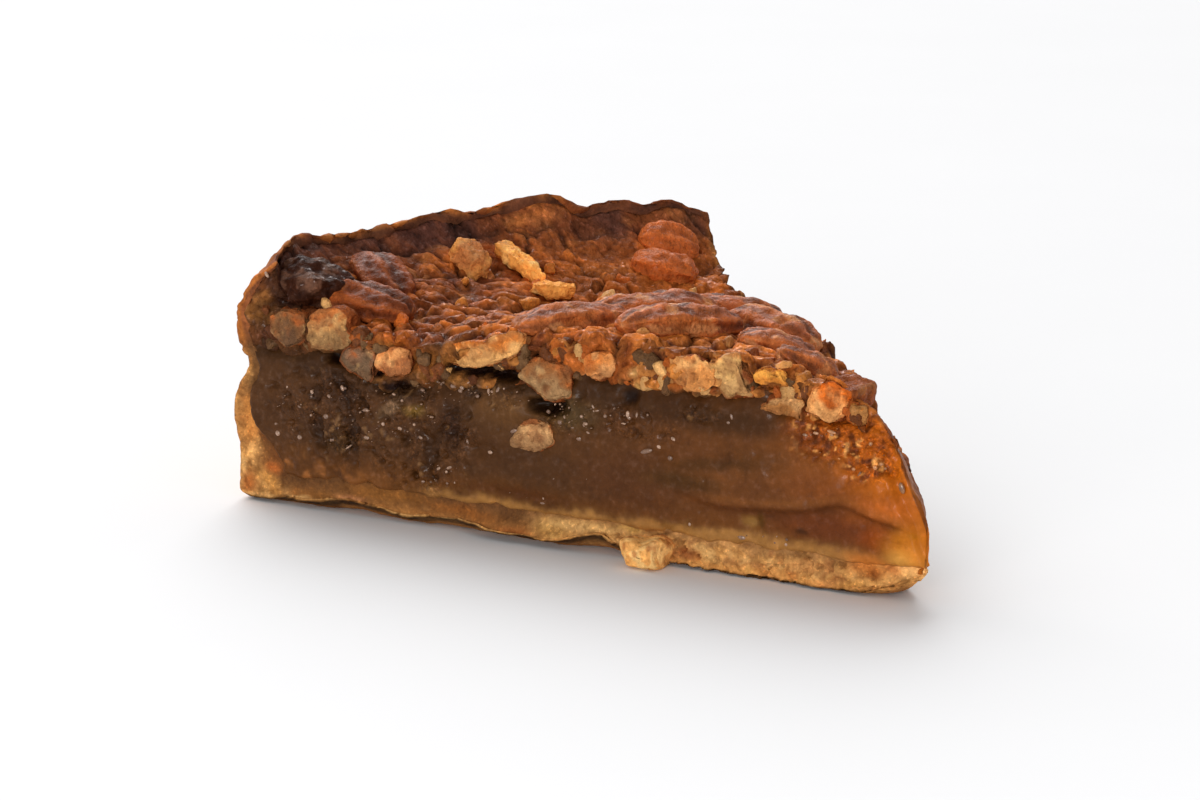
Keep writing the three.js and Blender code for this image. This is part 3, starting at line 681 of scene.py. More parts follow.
CARAMEL_PATCHES = (
    (104, 28, 7, 4, 0, (104, 76, 50)), (110, 28, 2.6, 2.4, 0, (126, 84, 42)),
    (109.6, 25.2, 2.0, 1.6, 0, (92, 52, 46)), (93, 28.2, 2.8, 1.8, 0, (172, 88, 40)),
    (87, 27.6, 4, 1.8, 0, (188, 98, 38)), (80, 25.2, 7, 1.6, 0, (132, 82, 36)),
    (80, 22.6, 6, 1.0, 0, (92, 66, 34)), (58.4, 28.6, 1.6, 2.2, -30, (196, 106, 48)),
    (52, 28.4, 4, 3.0, 0, (178, 96, 44)), (48.2, 27, 2.6, 2.2, 0, (140, 68, 30)),
    (55.6, 24.4, 2.4, 1.5, 0, (152, 112, 74)), (43, 28.8, 2, 2.0, 0, (64, 32, 32)),
    (42.6, 26, 1.6, 0.9, 0, (180, 108, 42)), (45.9, 24.6, 0.9, 1.3, 0, (190, 158, 100)),
    (46.3, 27, 0.6, 0.7, 0, (238, 190, 130)), (41, 23.6, 3.4, 0.8, 0, (112, 92, 48)),
    (36, 24, 4, 1.4, 0, (116, 94, 60)), (20.4, 28, 3.2, 1.4, 0, (152, 102, 58)),
    (25.4, 24.8, 1.8, 0.7, -10, (186, 88, 30)), (15.2, 28.0, 3.6, 1.3, -8, (218, 112, 28)),
    (12.6, 26.2, 2.4, 2.0, 0, (140, 62, 28)), (16.6, 25.4, 0.8, 1.2, 20, (238, 190, 130)),
    (10.2, 23.6, 2.0, 1.2, 0, (158, 84, 34)), (9.0, 25.6, 0.7, 0.6, 0, (226, 172, 122)),
)


def patch(s, h, row):
    """A soft-edged ellipse on a cut: e to the minus cube of the distance over its size."""
    at, height, length, tall, turn = row[:5]
    c, d = math.cos(math.radians(turn)), math.sin(math.radians(turn))
    x, y = s - at, h - height
    return np.exp(-((((x * c + y * d) / length) ** 2 + ((y * c - x * d) / tall) ** 2) ** 1.5))


def lay_patches(tint, points, rows, share):
    """Lays each patch of colour on the near cut, its outline frayed by noise."""
    s, h, _ = cut_frame(points, "near")
    s = s + 0.7 * rough(points, 2.6, 611)
    h = h + 0.4 * rough(points, 1.9, 612)
    lay(tint, *((patch(s, h, row) * share, rgb(*row[5])) for row in rows))


def patches(s, h, rows):
    """The highest of a set of bells over a cut, each (distance, height, half length, half height)."""
    best = np.zeros_like(s)
    for at, height, length, tall in rows:
        best = np.maximum(best, bump(s, at, length) * bump(h, height, tall))
    return best


def gap_depth(points, side):
    """How deep the named gaps of a cut go at each point."""
    s, h, _ = cut_frame(points, side)
    fray = 0.35 * rough(points, 1.6, 621)
    s = s + 0.7 * rough(points, 2.4, 622)
    depth = np.zeros_like(s)
    for at, height, length, tall, deep in NEAR_GAPS if side == "near" else FAR_GAPS:
        inside = np.abs((s - at) / length) ** 3 + np.abs((h - height + fray) / tall) ** 2.4
        depth = np.maximum(depth, deep * np.exp(-inside))
    return depth


def on_cuts(points, low, high):
    """Where either cut is: the step from low to high of how far out of its plane a point stands."""
    return np.maximum(*(step(cut_frame(points, side)[2], low, high) for side in SIDES))


def raise_cuts(points, height_at):
    """Moves what lies on or close behind a cut out along the cut's normal by height_at(points, side)."""
    moved = points.copy()
    for side in SIDES:
        proud = cut_frame(points, side)[2]
        reach = bump(np.minimum(proud, 0), 0, 0.9)
        close = reach > 0.02
        lift = np.zeros(len(points))
        lift[close] = height_at(points[close], side) * reach[close]
        moved += lift[:, None] * cut_normal(side)
    return moved


# ------------------------------------------------------------------ crust


def crust_form(u, v, w):
    """An L-shaped strip: u runs along the base and up the wall, v from outside to inside, w round the tip."""
    angle = HALF * (2 * w - 1)
    flat = np.clip(u / CORNER, 0, 1)
    up = np.clip((u - CORNER) / (1 - CORNER), 0, 1)
    rim = rim_top(angle)
    foot_z = rim * up
    round_foot = 1.8 * (1 - np.sqrt(1 - np.clip(1 - foot_z / 1.8, 0, 1) ** 2))
    edge = 0.8 * step(foot_z, rim - 1.6, rim)
    base_end = outer_radius(0, angle) - 1.8
    base_r = TIP_RADIUS + (base_end - TIP_RADIUS) * flat
    outer_r = np.where(u < CORNER, base_r, outer_radius(foot_z, angle) - round_foot - edge)
    outer_z = np.where(u < CORNER, underside(base_r, angle), foot_z)
    reach = inner_radius(WALL_FOOT, angle)
    floor_r = TIP_RADIUS + (reach - TIP_RADIUS) * flat
    inside_z = floor_top(reach, angle) + (rim - 0.2 - floor_top(reach, angle)) * up
    inside_r = inner_radius(np.maximum(inside_z, WALL_FOOT), angle) + 0.5 * step(inside_z, rim - 1.2, rim)
    inner_r = np.where(u < CORNER, floor_r, inside_r)
    inner_z = np.where(u < CORNER, floor_top(floor_r, angle), inside_z)
    return place(outer_r + (inner_r - outer_r) * v, angle, outer_z + (inner_z - outer_z) * v)


def inside_depth(at, side):
    """How deep a point on a cut lies in the crust, from where the filling ends."""
    along, height, _ = cut_frame(at, side)
    wall = inner_radius(np.maximum(height, WALL_FOOT), cut_angle(side))
    below = np.maximum(0, floor_top(along, cut_angle(side)) - height)
    return np.hypot(below, np.maximum(0, along - wall))


def flake_form(u, v, w):
    """The flake broken from the foot of the near cut: a wavy block, rounded by the fifth-power mean."""
    cube = 2 * np.stack([u, v, w], axis=-1) - 1
    cube = cube * (np.abs(cube).max(axis=-1) / (np.abs(cube) ** 5).sum(axis=-1) ** 0.2)[:, None]
    x, y, z = (cube * (2.9, 4.1, 2.1)).T
    x = x + 0.35 * np.sin(0.9 * y + 1.3 * z)
    z = np.where(z > 0, z + 0.3 * np.sin(1.1 * x + 0.6 * y), z)
    turn = math.radians(HALF - 6)
    c, d = math.cos(turn), math.sin(turn)
    turned = np.stack([x * c - y * d, x * d + y * c, z], axis=-1)
    return turned + place(43.6, -HALF, 2.0) + 0.2 * cut_normal("near")


def crumb_heap(points, relief):
    """Broken shortcrust: flat flakes, crumbs on them and pits between, each grain with its own height."""
    flake, _, flake_own = cells(points * np.array([0.62, 0.62, 1]), 2.3, 11)
    near, _, own = cells(points, 1.35, 12)
    pit = step(own, 0.24, 0.12)
    heap = relief * (0.9 * (0.55 - flake) + 1.1 * (flake_own - 0.5) + 0.8 * (0.5 - near) - 1.2 * pit)
    return heap, own, pit


# By distance from the tip: how far the near cut's foot swells out, and how high the lower edges are worn.
foot_swell = curve((50, 0), (57, 1.5), (64, 2.0), (71, 1.4), (77, 0))
undercut = curve(
    (8, 0.9), (14, 0.5), (20, 0.35), (34, 0.35), (45, 0.6),
    (53, 1.4), (60, 1.2), (85, 1.15), (100, 1.2), (115, 0.5),
)


def crust_relief(at, side, relief):
    """Crumbs on a cut: slumped at the tip, smoother where soaked, and sunk where the filling meets them."""
    along, height, _ = cut_frame(at, side)
    swell = foot_swell(along) * bump(height, 0.5, 2.2) if side == "near" else 0
    soaked = step(along, 58, 68) * step(height, 12, 6)
    flush = step(inside_depth(at, side), 3.0, 0.2)
    heap = crumb_heap(at, relief)[0] * (1 - 0.7 * soaked) * (1 - 0.5 * flush)
    slump = 0.7 * step(along, 9, 2)
    waves = (0.5 * rough(at, 6, 3) - 0.25) * (1 - flush)
    return heap * (1 - slump) - slump + waves - (0.25 + 0.25 * rough(at, 3.0, 5)) * flush + swell


def cut_foot(points, angle):
    """1 at a cut and less inwards, the distance from the tip, and the height over the underside."""
    worn = np.maximum(*(bump(np.minimum(cut_frame(points, side)[2], 0), 0, 1.3) for side in SIDES))
    along = np.hypot(points[:, 0] - TIP_X, points[:, 1])
    return worn, along, points[:, 2] - underside(along, angle)


def crust_points(before, u, v, angle, quads, relief):
    """The strip with crumbly cuts, gritty skin, a worn rim and the lower edges of its cuts worn away."""
    points = raise_cuts(before, lambda at, side: crust_relief(at, side, relief))
    inner = step(v, 0.5, 1) * step(u, 0.86, 0.94)
    wear = 1.1 * rough(points, 2.8, 23, 4) * step(u, 0.96, 1.0)
    wear = wear + 0.7 * np.clip(rough(points, 2.6, 26), -0.3, 1) * inner
    grit = 0.16 * rough(points, 2.0, 21) + 0.14 * rough(points, 9, 22)
    points = points + normals(points, quads) * (grit + wear)[:, None]
    worn, along, foot = cut_foot(before, angle)
    points[:, 2] += undercut(along) * worn * (1 - step(foot, 0.3, 1.6)) * (1 + 0.4 * rough(points, 4, 25))
    points[:, 2] = np.maximum(points[:, 2], 0.02 + 0.1 * np.abs(rough(points, 5, 24)))
    return points


def skin_colours(tint, s, before, u, v, angle):
    """The baked skin: browned on its flutes and foot, darkest where the caramel lines the rim's inside, with a
    painted orange highlight along the rim's top edge.
    """
    height = before[:, 2]
    cloud, small = rough(before, 7, 31), rough(before, 2.4, 32)
    wall = u > CORNER
    ridge = step(flute(angle), -0.2, 0.4) * wall * (v < 0.5)
    rim = rim_top(angle) - height
    lined = step(v + 0.3 * small, 0.15, 0.6) * wall * step(height, 20, 26)
    lined = lined * step(rim, -0.3, 0.9 + 1.3 * small)
    lay(
        tint,
        (0.45 * step(cloud, -0.1, 0.7), s.crust_brown),
        (0.3 * step(small, 0.1, 0.6), s.crumb_pale),
        (0.35 * ridge * step(height, 4, 10), s.crust_brown),
        (0.5 * (1 - step(height, 0.4, 2.2)) * (1 - on_cuts(before, -1.2, -0.4)), s.crust_brown),
        ((1 - step(rim + 1.2 * cloud, 1.0, 5.5)) * 0.7, rgb(168, 94, 44)),
        # Painted highlight along the rim's top edge.
        ((1 - step(rim, 0.2, 1.4)) * step(small, 0.0, 0.5) * 0.8, rgb(216, 126, 54)),
        ((1 - step(rim, 0.4, 2.4)) * spots(before, 4, 29, -0.25, 0.25) * 0.85, rgb(112, 58, 34)),
        (lined * 0.9, rgb(84, 52, 42)),
        (lined * spots(before, 3.2, 27, 0.0, 0.5) * 0.6, rgb(128, 78, 54)),
        (lined * spots(before, 2.4, 28, 0.1, 0.6) * 0.7, s.burnt_caramel_and_crevice_shade),
    )


def crumb_colours(tint, s, before, v, angle):
    """The broken face: tan with pale flakes and painted shade in its pits, browned by syrup from the inside,
    with a painted shadow along its worn lower edge. Returns how crumbly it is.
    """
    _, own, pit = crumb_heap(before, 1.0)
    cut, height = on_cuts(before, -1.2, -0.4), before[:, 2]
    worn, along, foot = cut_foot(before, angle)
    cloud, small = rough(before, 7, 31), rough(before, 2.4, 32)
    base = cut * step(height, 9, 6.5)
    soaked = 0.9 * cut * step(along + 3 * cloud, 58, 66) * step(110.5 - along, 0, 6)
    soaked = soaked * step(height + 0.7 * cloud, 0.7, 1.8)
    within = np.maximum(0, along - inner_radius(np.maximum(height, WALL_FOOT), angle))
    depth = np.hypot(np.maximum(0, 5.6 - height), within) + 0.7 * small + 0.7 * cloud
    syrup = step(along, 52, 68)
    steeped = step(depth, 2.6 + 1.6 * syrup, 0.4 + syrup) * step(along, 5, 12)
    skin = outer_radius(height, angle) - along + small
    inside = step(skin, 3, 6.5) * step(height + 0.5 * small, 1.4, 4)
    upper = base * step(along, 7, 14) * (1 - syrup)
    deep = step(v + 0.12 * small, 0.25, 0.6)
    lay(
        tint,
        (base * 0.75, rgb(208, 156, 96)),
        (base * step(cloud + 0.6 * small, 0.1, 0.6) * 0.5, rgb(160, 106, 58)),
        (base * step(own, 0.6, 0.95) * 0.4, CREAM),
        (base * step(along, 16, 4) * 0.7, rgb(250, 186, 112)),
        # Painted shade in the pits.
        (base * pit * 0.5, rgb(112, 70, 36)),
        (base * bump(height, 0.6, 0.9) * step(along, 64, 56) * 0.6, rgb(218, 152, 86)),
        (soaked * 0.9, s.crumb_soaked),
        (cut * steeped * 0.75 * (1 - syrup), rgb(146, 104, 62)),
        (cut * step(depth + 1.4 * rough(before, 1.7, 34), 3.4, 0.4) * syrup * 0.9, rgb(100, 66, 40)),
        (cut * inside * syrup * 0.85, rgb(100, 66, 40)),
        (upper * step(depth + 1.6 * rough(before, 1.5, 35), 2.2, 0.0) * 0.8, rgb(160, 116, 76)),
        (upper * spots(before, 1.1, 36, 0.2, 0.5, 2) * step(depth, 3.6, 1) * 0.7, rgb(206, 152, 100)),
        (base * (1 - syrup) * spots(before, 2.0, 37, 0.15, 0.5) * 0.5, rgb(168, 104, 62)),
        (base * (1 - syrup) * bump(height, 0.9, 0.7) * step(small, -0.4, 0.2) * 0.7, rgb(240, 176, 104)),
        (cut * step(along + 0.8 * small, 9, 4) * step(height, 2.2, 4.6) * 0.85, rgb(255, 204, 140)),
        (cut * step(height + 1.5 * cloud, 23, 27) * (0.35 + 0.45 * deep), rgb(156, 92, 56)),
        (cut * step(height, 30, 33) * deep * 0.7, rgb(92, 52, 34)),
        (cut * step(height, 22, 25) * (1 - deep) * 0.5, rgb(206, 122, 56)),
    )
    lay_patches(tint, before, CRUST_PATCHES, step(cut_frame(before, "near")[2], -1.6, -0.4) * 0.8)
    # A painted contact shadow along the worn lower edge of the cuts.
    shaded = np.clip(1.6 * worn, 0, 1) * step(foot, 0.3, 0.08) * step(along, 7, 15)
    lay(tint, (shaded * 0.9, rgb(46, 28, 18)))
    return np.clip(cut * (1 - 0.8 * soaked) * (1 - 0.8 * step(depth, 3, 0.5)) + 0.2, 0, 1)


def broken_flake():
    """The flake as a closed shell: pale crumb, browned in spots."""
    u, v, w, quads = lattice(spaced(26), spaced(34), spaced(20))
    flake = flake_form(u, v, w)
    heap, own, _ = crumb_heap(flake, 0.07)
    flake = flake + normals(flake, quads) * (0.3 * rough(flake, 3.4, 41, 2) + heap)[:, None]
    flake[:, 2] = np.maximum(flake[:, 2], 0.02)
    tint = plain_tint(rgb(254, 192, 118), len(u))
    lay(
        tint,
        (step(own, 0.6, 0.9) * 0.5, rgb(255, 222, 160)),
        (step(own, 0.35, 0.15) * 0.4, rgb(206, 132, 68)),
        (spots(flake, 2.2, 42, 0.25, 0.5) * 0.7, rgb(176, 102, 56)),
    )
    return flake, quads, {"tint": tint, "crumbly": 0.3 + 0 * u}


class PIE_OT_crust(bpy.types.Operator):
    """The crust: an L-shaped strip round the slice, crumbly on its cuts, and the flake broken from it."""

    bl_idname = "pie.crust"
    bl_label = "Crust"

    def execute(self, context):
        s = context.scene.pie
        along_base, up_wall, through, around = 262, 74, 16, 104
        u = np.concatenate([np.linspace(0, CORNER, along_base)[:-1], np.linspace(CORNER, 1, up_wall)])
        u, v, w, quads = lattice(u, spaced(through), spaced(around, 0.4))
        angle = HALF * (2 * w - 1)
        before = crust_form(u, v, w)
        points = crust_points(before, u, v, angle, quads, s.crumb_relief)
        tint = plain_tint(s.crust_gold, len(u))
        skin_colours(tint, s, before, u, v, angle)
        crumbly = crumb_colours(tint, s, before, v, angle)
        strip = (points, quads, {"tint": tint, "crumbly": crumbly})
        add_piece("shortcrust", [strip, broken_flake()], crust_paint(), ["crust"])
        return {"FINISHED"}


# ------------------------------------------------------------------ filling


def filling_form(u, v, w):
    """The body between base, wall and nut layer: u from tip to wall, v from floor to top, w round the tip."""
    angle = HALF * (2 * w - 1)
    r = TIP_RADIUS + u * (108 - TIP_RADIUS)
    covered = step(r, NUT_START - 2.5, NUT_START - 0.5)
    top = plain_top(r, angle) * (1 - covered) + (nut_layer_bottom(r, angle) + TUCK) * covered
    low = floor_top(r, angle) - 1.8
    z = low + (top - low) * v
    wall = inner_radius(np.maximum(z, WALL_FOOT), angle) + 1
    return place(TIP_RADIUS + u * (wall - TIP_RADIUS), angle, z)


def ragged(points):
    """Ragged hollows where bubbles have run together, from 0 to 1: the peaks of rough noise."""
    return spots(points, 2.6, 57, 0.12, 0.42, 4)


def above_seam(points, side):
    """How far a point lies above the ragged line where the nut layer meets the filling."""
    s, h, _ = cut_frame(points, side)
    return h - nut_layer_bottom(s, cut_angle(side)) + 1.5 * rough(points, 4.2, 104)


def filling_relief(at, side):
    """A cut of the filling: dragged by the knife, pitted by bubbles, and sunk at crust, nuts and gaps."""
    along, height, _ = cut_frame(at, side)
    zone = step(patches(along, height, NEAR_BUBBLY if side == "near" else FAR_BUBBLY), 0.2, 0.7)
    near, _, own = cells(at, 1.7, 51)
    pits = np.clip(1 - (near / (0.2 + 0.25 * own)) ** 2, 0, 1) * zone + ragged(at) * zone
    over = height - knife_lap(along)
    lap = 0.5 * step(over, -0.5, 0.25) * (1 - step(over, 1, 8)) * step(along, 42, 32) * step(along, 2, 6)
    drag = np.stack([0.25 * at[:, 0], 0.25 * at[:, 1], at[:, 2]], axis=-1)
    relief = 0.2 * rough(drag, 3.2, 52) + 0.2 * rough(at, 9, 53) + zone * 0.3 * rough(at, 1.5, 55)
    grip = 0.8 * step(above_seam(at, side), -1.6, 1.0)
    sugared = step(patches(along, height, SUGARED), 0.15, 0.6) * (side == "near")
    relief = relief + sugared * (0.7 * rough(at, 1.5, 73, 2) + 0.5 * (0.5 - cells(at, 1.2, 74)[0]))
    relief = relief - 0.9 * nut_middles(at, side)
    relief = relief + 0.3 - 0.78 * step(inside_depth(at, side) + 0.9 * rough(at, 2.6, 60), -0.1, 1.3)
    relief = relief - 0.9 * step(inside_depth(at, side) + 0.7 * rough(at, 2.2, 64, 4), 0.3, 1.1)
    return relief + lap - 0.7 * pits - grip - 0.8 * gap_depth(at, side)


def filling_colours(s, before, u, v):
    """Brown, clear and then amber towards the tip, tan at the base, with painted shade in its gaps, holes and
    under the knife's lap, and painted glints. Returns the tint and how bubbly it is, which the shader flecks
    with painted glints and shade.
    """
    along, height, out = cut_frame(before, "near")
    far_along, far_height, far_out = cut_frame(before, "far")
    near_side, far_side = step(out, -5, -0.5), step(far_out, -5, -0.5)
    from_tip = np.minimum(along, far_along)
    cloud, speckle = rough(before, 6, 61), rough(before, 1.2, 62)
    low = height + 1.2 * cloud + 0.7 * speckle
    to_wall = inner_radius(np.maximum(height, WALL_FOOT), -HALF) - from_tip
    inset = np.minimum(to_wall, height - 5.4)
    gritty = spots(before, 1.7, 34, -0.1, 0.3) * step(from_tip, 60, 74)
    tint = plain_tint(s.filling_brown, len(u))
    lay(
        tint,
        (step(cloud, 0.0, 0.8) * 0.4, s.filling_dark),
        ((1 - step(from_tip + 5 * cloud, 22, 44)) * 0.8, s.filling_gel),
        ((1 - step(low, 6, 11)) * 0.6, rgb(112, 72, 38)),
        (bump(along, 67, 7) * bump(height, 19.5, 3.5) * near_side * 0.7, rgb(110, 80, 56)),
        (bump(along, 50, 12) * bump(height, 16, 4) * near_side * 0.5, rgb(98, 66, 42)),
        (step(low, 7.4, 4.8) * step(from_tip, 62, 54) * step(from_tip, 5, 12) * 0.85, rgb(170, 134, 98)),
        (step(low, 6.6, 5.2) * step(from_tip, 60, 50) * step(from_tip, 5, 12) * 0.75, rgb(214, 166, 112)),
        ((1 - step(from_tip + 3 * cloud, 4, 19)) * step(height, 11, 16), s.filling_amber),
        (step(height + cloud, 19.5, 23) * step(from_tip, 10, 20) * 0.6, rgb(54, 36, 24)),
        ((1 - step(inset + cloud, -0.4, 1.8)) * 0.5, rgb(118, 80, 54)),
        ((1 - step(inset + 1.8 * speckle, 0.2, 3.0)) * gritty * 0.75, rgb(186, 126, 84)),
    )
    lay_patches(tint, before, FILLING_PATCHES, near_side * 0.75)
    over = height - knife_lap(along)
    near_front = step(along, 2, 7) * near_side
    skin = step(v, 0.96, 1.0) * (1 - step(u, 0.085, 0.11))
    hollow = np.maximum(
        step(gap_depth(before, "near"), 0.5, 1.6) * near_side,
        step(gap_depth(before, "far"), 0.5, 1.6) * far_side,
    )
    lay(
        tint,
        # Painted shadow under the knife's lap, and a paler band above it.
        (bump(over, -0.2, 0.7) * step(along, 42, 32) * near_front * 0.55, rgb(78, 42, 20)),
        (bump(over, 0.9, 0.6) * step(along, 40, 30) * near_front * 0.25, rgb(168, 112, 70)),
        (step(speckle, 0.35, 0.8) * 0.25, rgb(46, 28, 18)),
        (far_side * (1 - step(far_along + 3 * cloud, 3, 14)) * 0.8, rgb(206, 122, 38)),
        (skin * 0.85, rgb(132, 76, 40)),
        (skin * spots(before, 2.4, 66, 0, 0.4) * 0.6, rgb(196, 128, 80)),
        (skin * spots(before, 1.8, 67, 0.1, 0.4) * 0.6, rgb(84, 44, 24)),
        # Painted shade in the gaps of both cuts.
        (hollow * 0.9, rgb(26, 13, 10)),
    )
    bubbly_glints_and_shade = np.maximum(
        step(patches(along, height, NEAR_BUBBLY), 0.15, 0.8) * near_side,
        step(patches(far_along, far_height, FAR_BUBBLY), 0.15, 0.8) * far_side,
    )
    grainy = step(patches(along, height, SUGARED) + 0.2 * speckle, 0.15, 0.7) * near_side
    holes = ragged(before)
    glints = spots(before, 0.9, 58, 0.3, 0.55, 2) * spots(before, 3.4, 59, -0.1, 0.3)
    lay(
        tint,
        (grainy * 0.5, rgb(166, 84, 34)),
        (grainy * spots(before, 1.0, 71, 0.0, 0.35, 2) * 0.85, rgb(92, 46, 22)),
        # Painted glints on the sugared filling.
        (grainy * spots(before, 0.75, 72, 0.3, 0.55, 2) * 0.9, rgb(246, 184, 126)),
        # Painted shade in the ragged holes, and painted glints beside them.
        (bubbly_glints_and_shade * holes * step(from_tip, 14, 26) * 0.5, rgb(34, 21, 16)),
        (bubbly_glints_and_shade * glints * (1 - holes) * 0.5, rgb(160, 128, 108)),
    )
    return tint, np.maximum(bubbly_glints_and_shade * (0.25 + 0.75 * spots(before, 3.0, 68, -0.2, 0.5)), 0.8 * grainy)


class PIE_OT_filling(bpy.types.Operator):
    """The set filling: dragged smooth by the knife, bubbled in places, bare and amber at the tip."""

    bl_idname = "pie.filling"
    bl_label = "Filling"

    def execute(self, context):
        s = context.scene.pie
        along, upwards, around = 350, 82, 30
        u, v, w, quads = lattice(spaced(along), spaced(upwards), spaced(around, 0.5))
        before = filling_form(u, v, w)
        points = raise_cuts(before, filling_relief)
        bare = step(v, 0.95, 1.0) * step(u, 0.14, 0.08)
        swell = 0.06 * rough(points, 2.2, 54) + 0.45 * bare * rough(points, 2.6, 50, 4)
        points = points + normals(points, quads) * swell[:, None]
        tint, bubbly_glints_and_shade = filling_colours(s, before, u, v)
        shell = (points, quads, {"tint": tint, "bubbly_glints_and_shade": bubbly_glints_and_shade})
        add_piece("set_filling", [shell], filling_paint(), ["filling"])
        return {"FINISHED"}


# ------------------------------------------------------------------ caramel and nut layer


def caramel_form(u, v, w):
    """The layer over the filling: u from near the tip to the wall, v from bottom to top, w round the tip."""
    angle = HALF * (2 * w - 1)
    reach = inner_radius(lap_height(angle), angle)
    r = NUT_START - 1 + u * (reach - NUT_START + 1)
    low = nut_layer_bottom(r, angle) - TUCK
    z = low + (full_top(r, angle) + 0.5 * climb(r, angle) - low) * v
    wall = inner_radius(z, angle) + 0.15
    nose = NUT_START - 1 + 1.2 * (1 - v) + 1.6 * ripple(angle / 4, z / 3, 2.6, 5.3)
    nose = nose + 0.8 * np.abs(angle) / HALF
    return place(nose + u * (wall - nose), angle, z)


def nut_bed(points, count):
    """Nuts under the caramel, spread by the golden section: ridged domes on ellipses, the highest showing."""
    random = seeded(77)
    x, y = points[:, 0], points[:, 1]
    height, tone, groove = np.zeros(len(x)), np.full(len(x), 0.35), np.zeros(len(x))
    for i in range(count):
        distance = 12 + 98 * math.sqrt((i + 0.5) / count)
        angle = HALF * (2 * ((i * GOLDEN) % 1) - 1)
        cx, cy, _ = place(distance, angle, 0)
        grainy = 1 - 0.45 * math.exp(-(((distance - 86) / 12) ** 2)) * math.exp(-((angle / 12) ** 2))
        length = (1.6 + 3.8 * next(random) ** 1.5) * grainy
        width = (0.8 + 1.1 * next(random)) * grainy
        tall = 0.5 + 1.2 * next(random) * grainy
        turn = math.radians(56 + 50 * (next(random) - 0.5) * 2)
        own, tilt, phase = next(random), 0.5 * (next(random) - 0.5), 6 * next(random)
        close = (np.abs(x - cx) < length + width) & (np.abs(y - cy) < length + width)
        dx, dy = x[close] - cx, y[close] - cy
        a = (dx * math.cos(turn) + dy * math.sin(turn)) / length
        b = (dy * math.cos(turn) - dx * math.sin(turn)) / width
        dome = tall * np.clip(1 - np.abs(a) ** 3 - np.abs(b) ** 2.6, 0, 1) ** 0.45 * (1 + tilt * a)
        ridges = np.cos(7 * b + phase)
        dome = dome * (1 + 0.12 * ridges)
        wins = dome > height[close]
        height[close] = np.where(wins, dome, height[close])
        tone[close] = np.where(wins, own, tone[close])
        groove[close] = np.where(wins, np.clip(-ridges, 0, 1), groove[close])
    return height, tone, groove


def top_relief(points, count):
    """The caramel's lumps: the nut bed, a slow swell, sugar grains, and cracks where nuts have parted."""
    flat = points * np.array([1, 1, 0.35])
    nuts, tone, groove = nut_bed(points, count)
    near, second, own = cells(flat, 8.5, 71)
    small, _, small_own = cells(flat, 1.7, 81)
    crack = bump(second - near, 0, 0.06) * step(rough(flat, 6, 75), -0.2, 0.3)
    rise = nuts + 0.5 * rough(flat, 12, 91) + 0.9 * (own - 0.5) - 1.3 * crack - 0.7
    rise = rise + 0.3 * (0.5 - small) + 0.15 * (small_own - 0.5) + 0.4 * rough(flat, 2.6, 93)
    return rise, crack, tone, groove, small_own, step(nuts, 0.1, 0.7)


def nut_middles(points, side):
    """1 in the middle of each nut of a cut, falling off towards its outline."""
    s, h, _ = cut_frame(points, side)
    rows = NEAR_NUTS if side == "near" else FAR_NUTS
    ovals = [(at, z, 0.47 * length, 0.47 * tall, -rise) for at, z, length, tall, rise, *_ in rows]
    return np.max([patch(s, h, oval) for oval in ovals], axis=0)


def caramel_relief(at, side):
    """A cut of the nut layer: packed grains, hollow behind its nuts, undercut below the filling's seam."""
    near, second, own = cells(at * np.array([0.8, 0.8, 1]), 2.6, 101)
    small = cells(at, 1.1, 105)[0]
    seams = bump(second - near, 0, 0.1)
    relief = 0.2 + 0.5 * rough(at, 3.4, 103) + 0.7 * (own - 0.5) + 0.5 * (0.5 - near) - 0.5 * seams
    relief = relief - 1.5 * nut_middles(at, side)
    drop = 1.2 * step(above_seam(at, side), 0.8, -1.4)
    return relief + 0.35 * (0.5 - small) - drop - gap_depth(at, side)


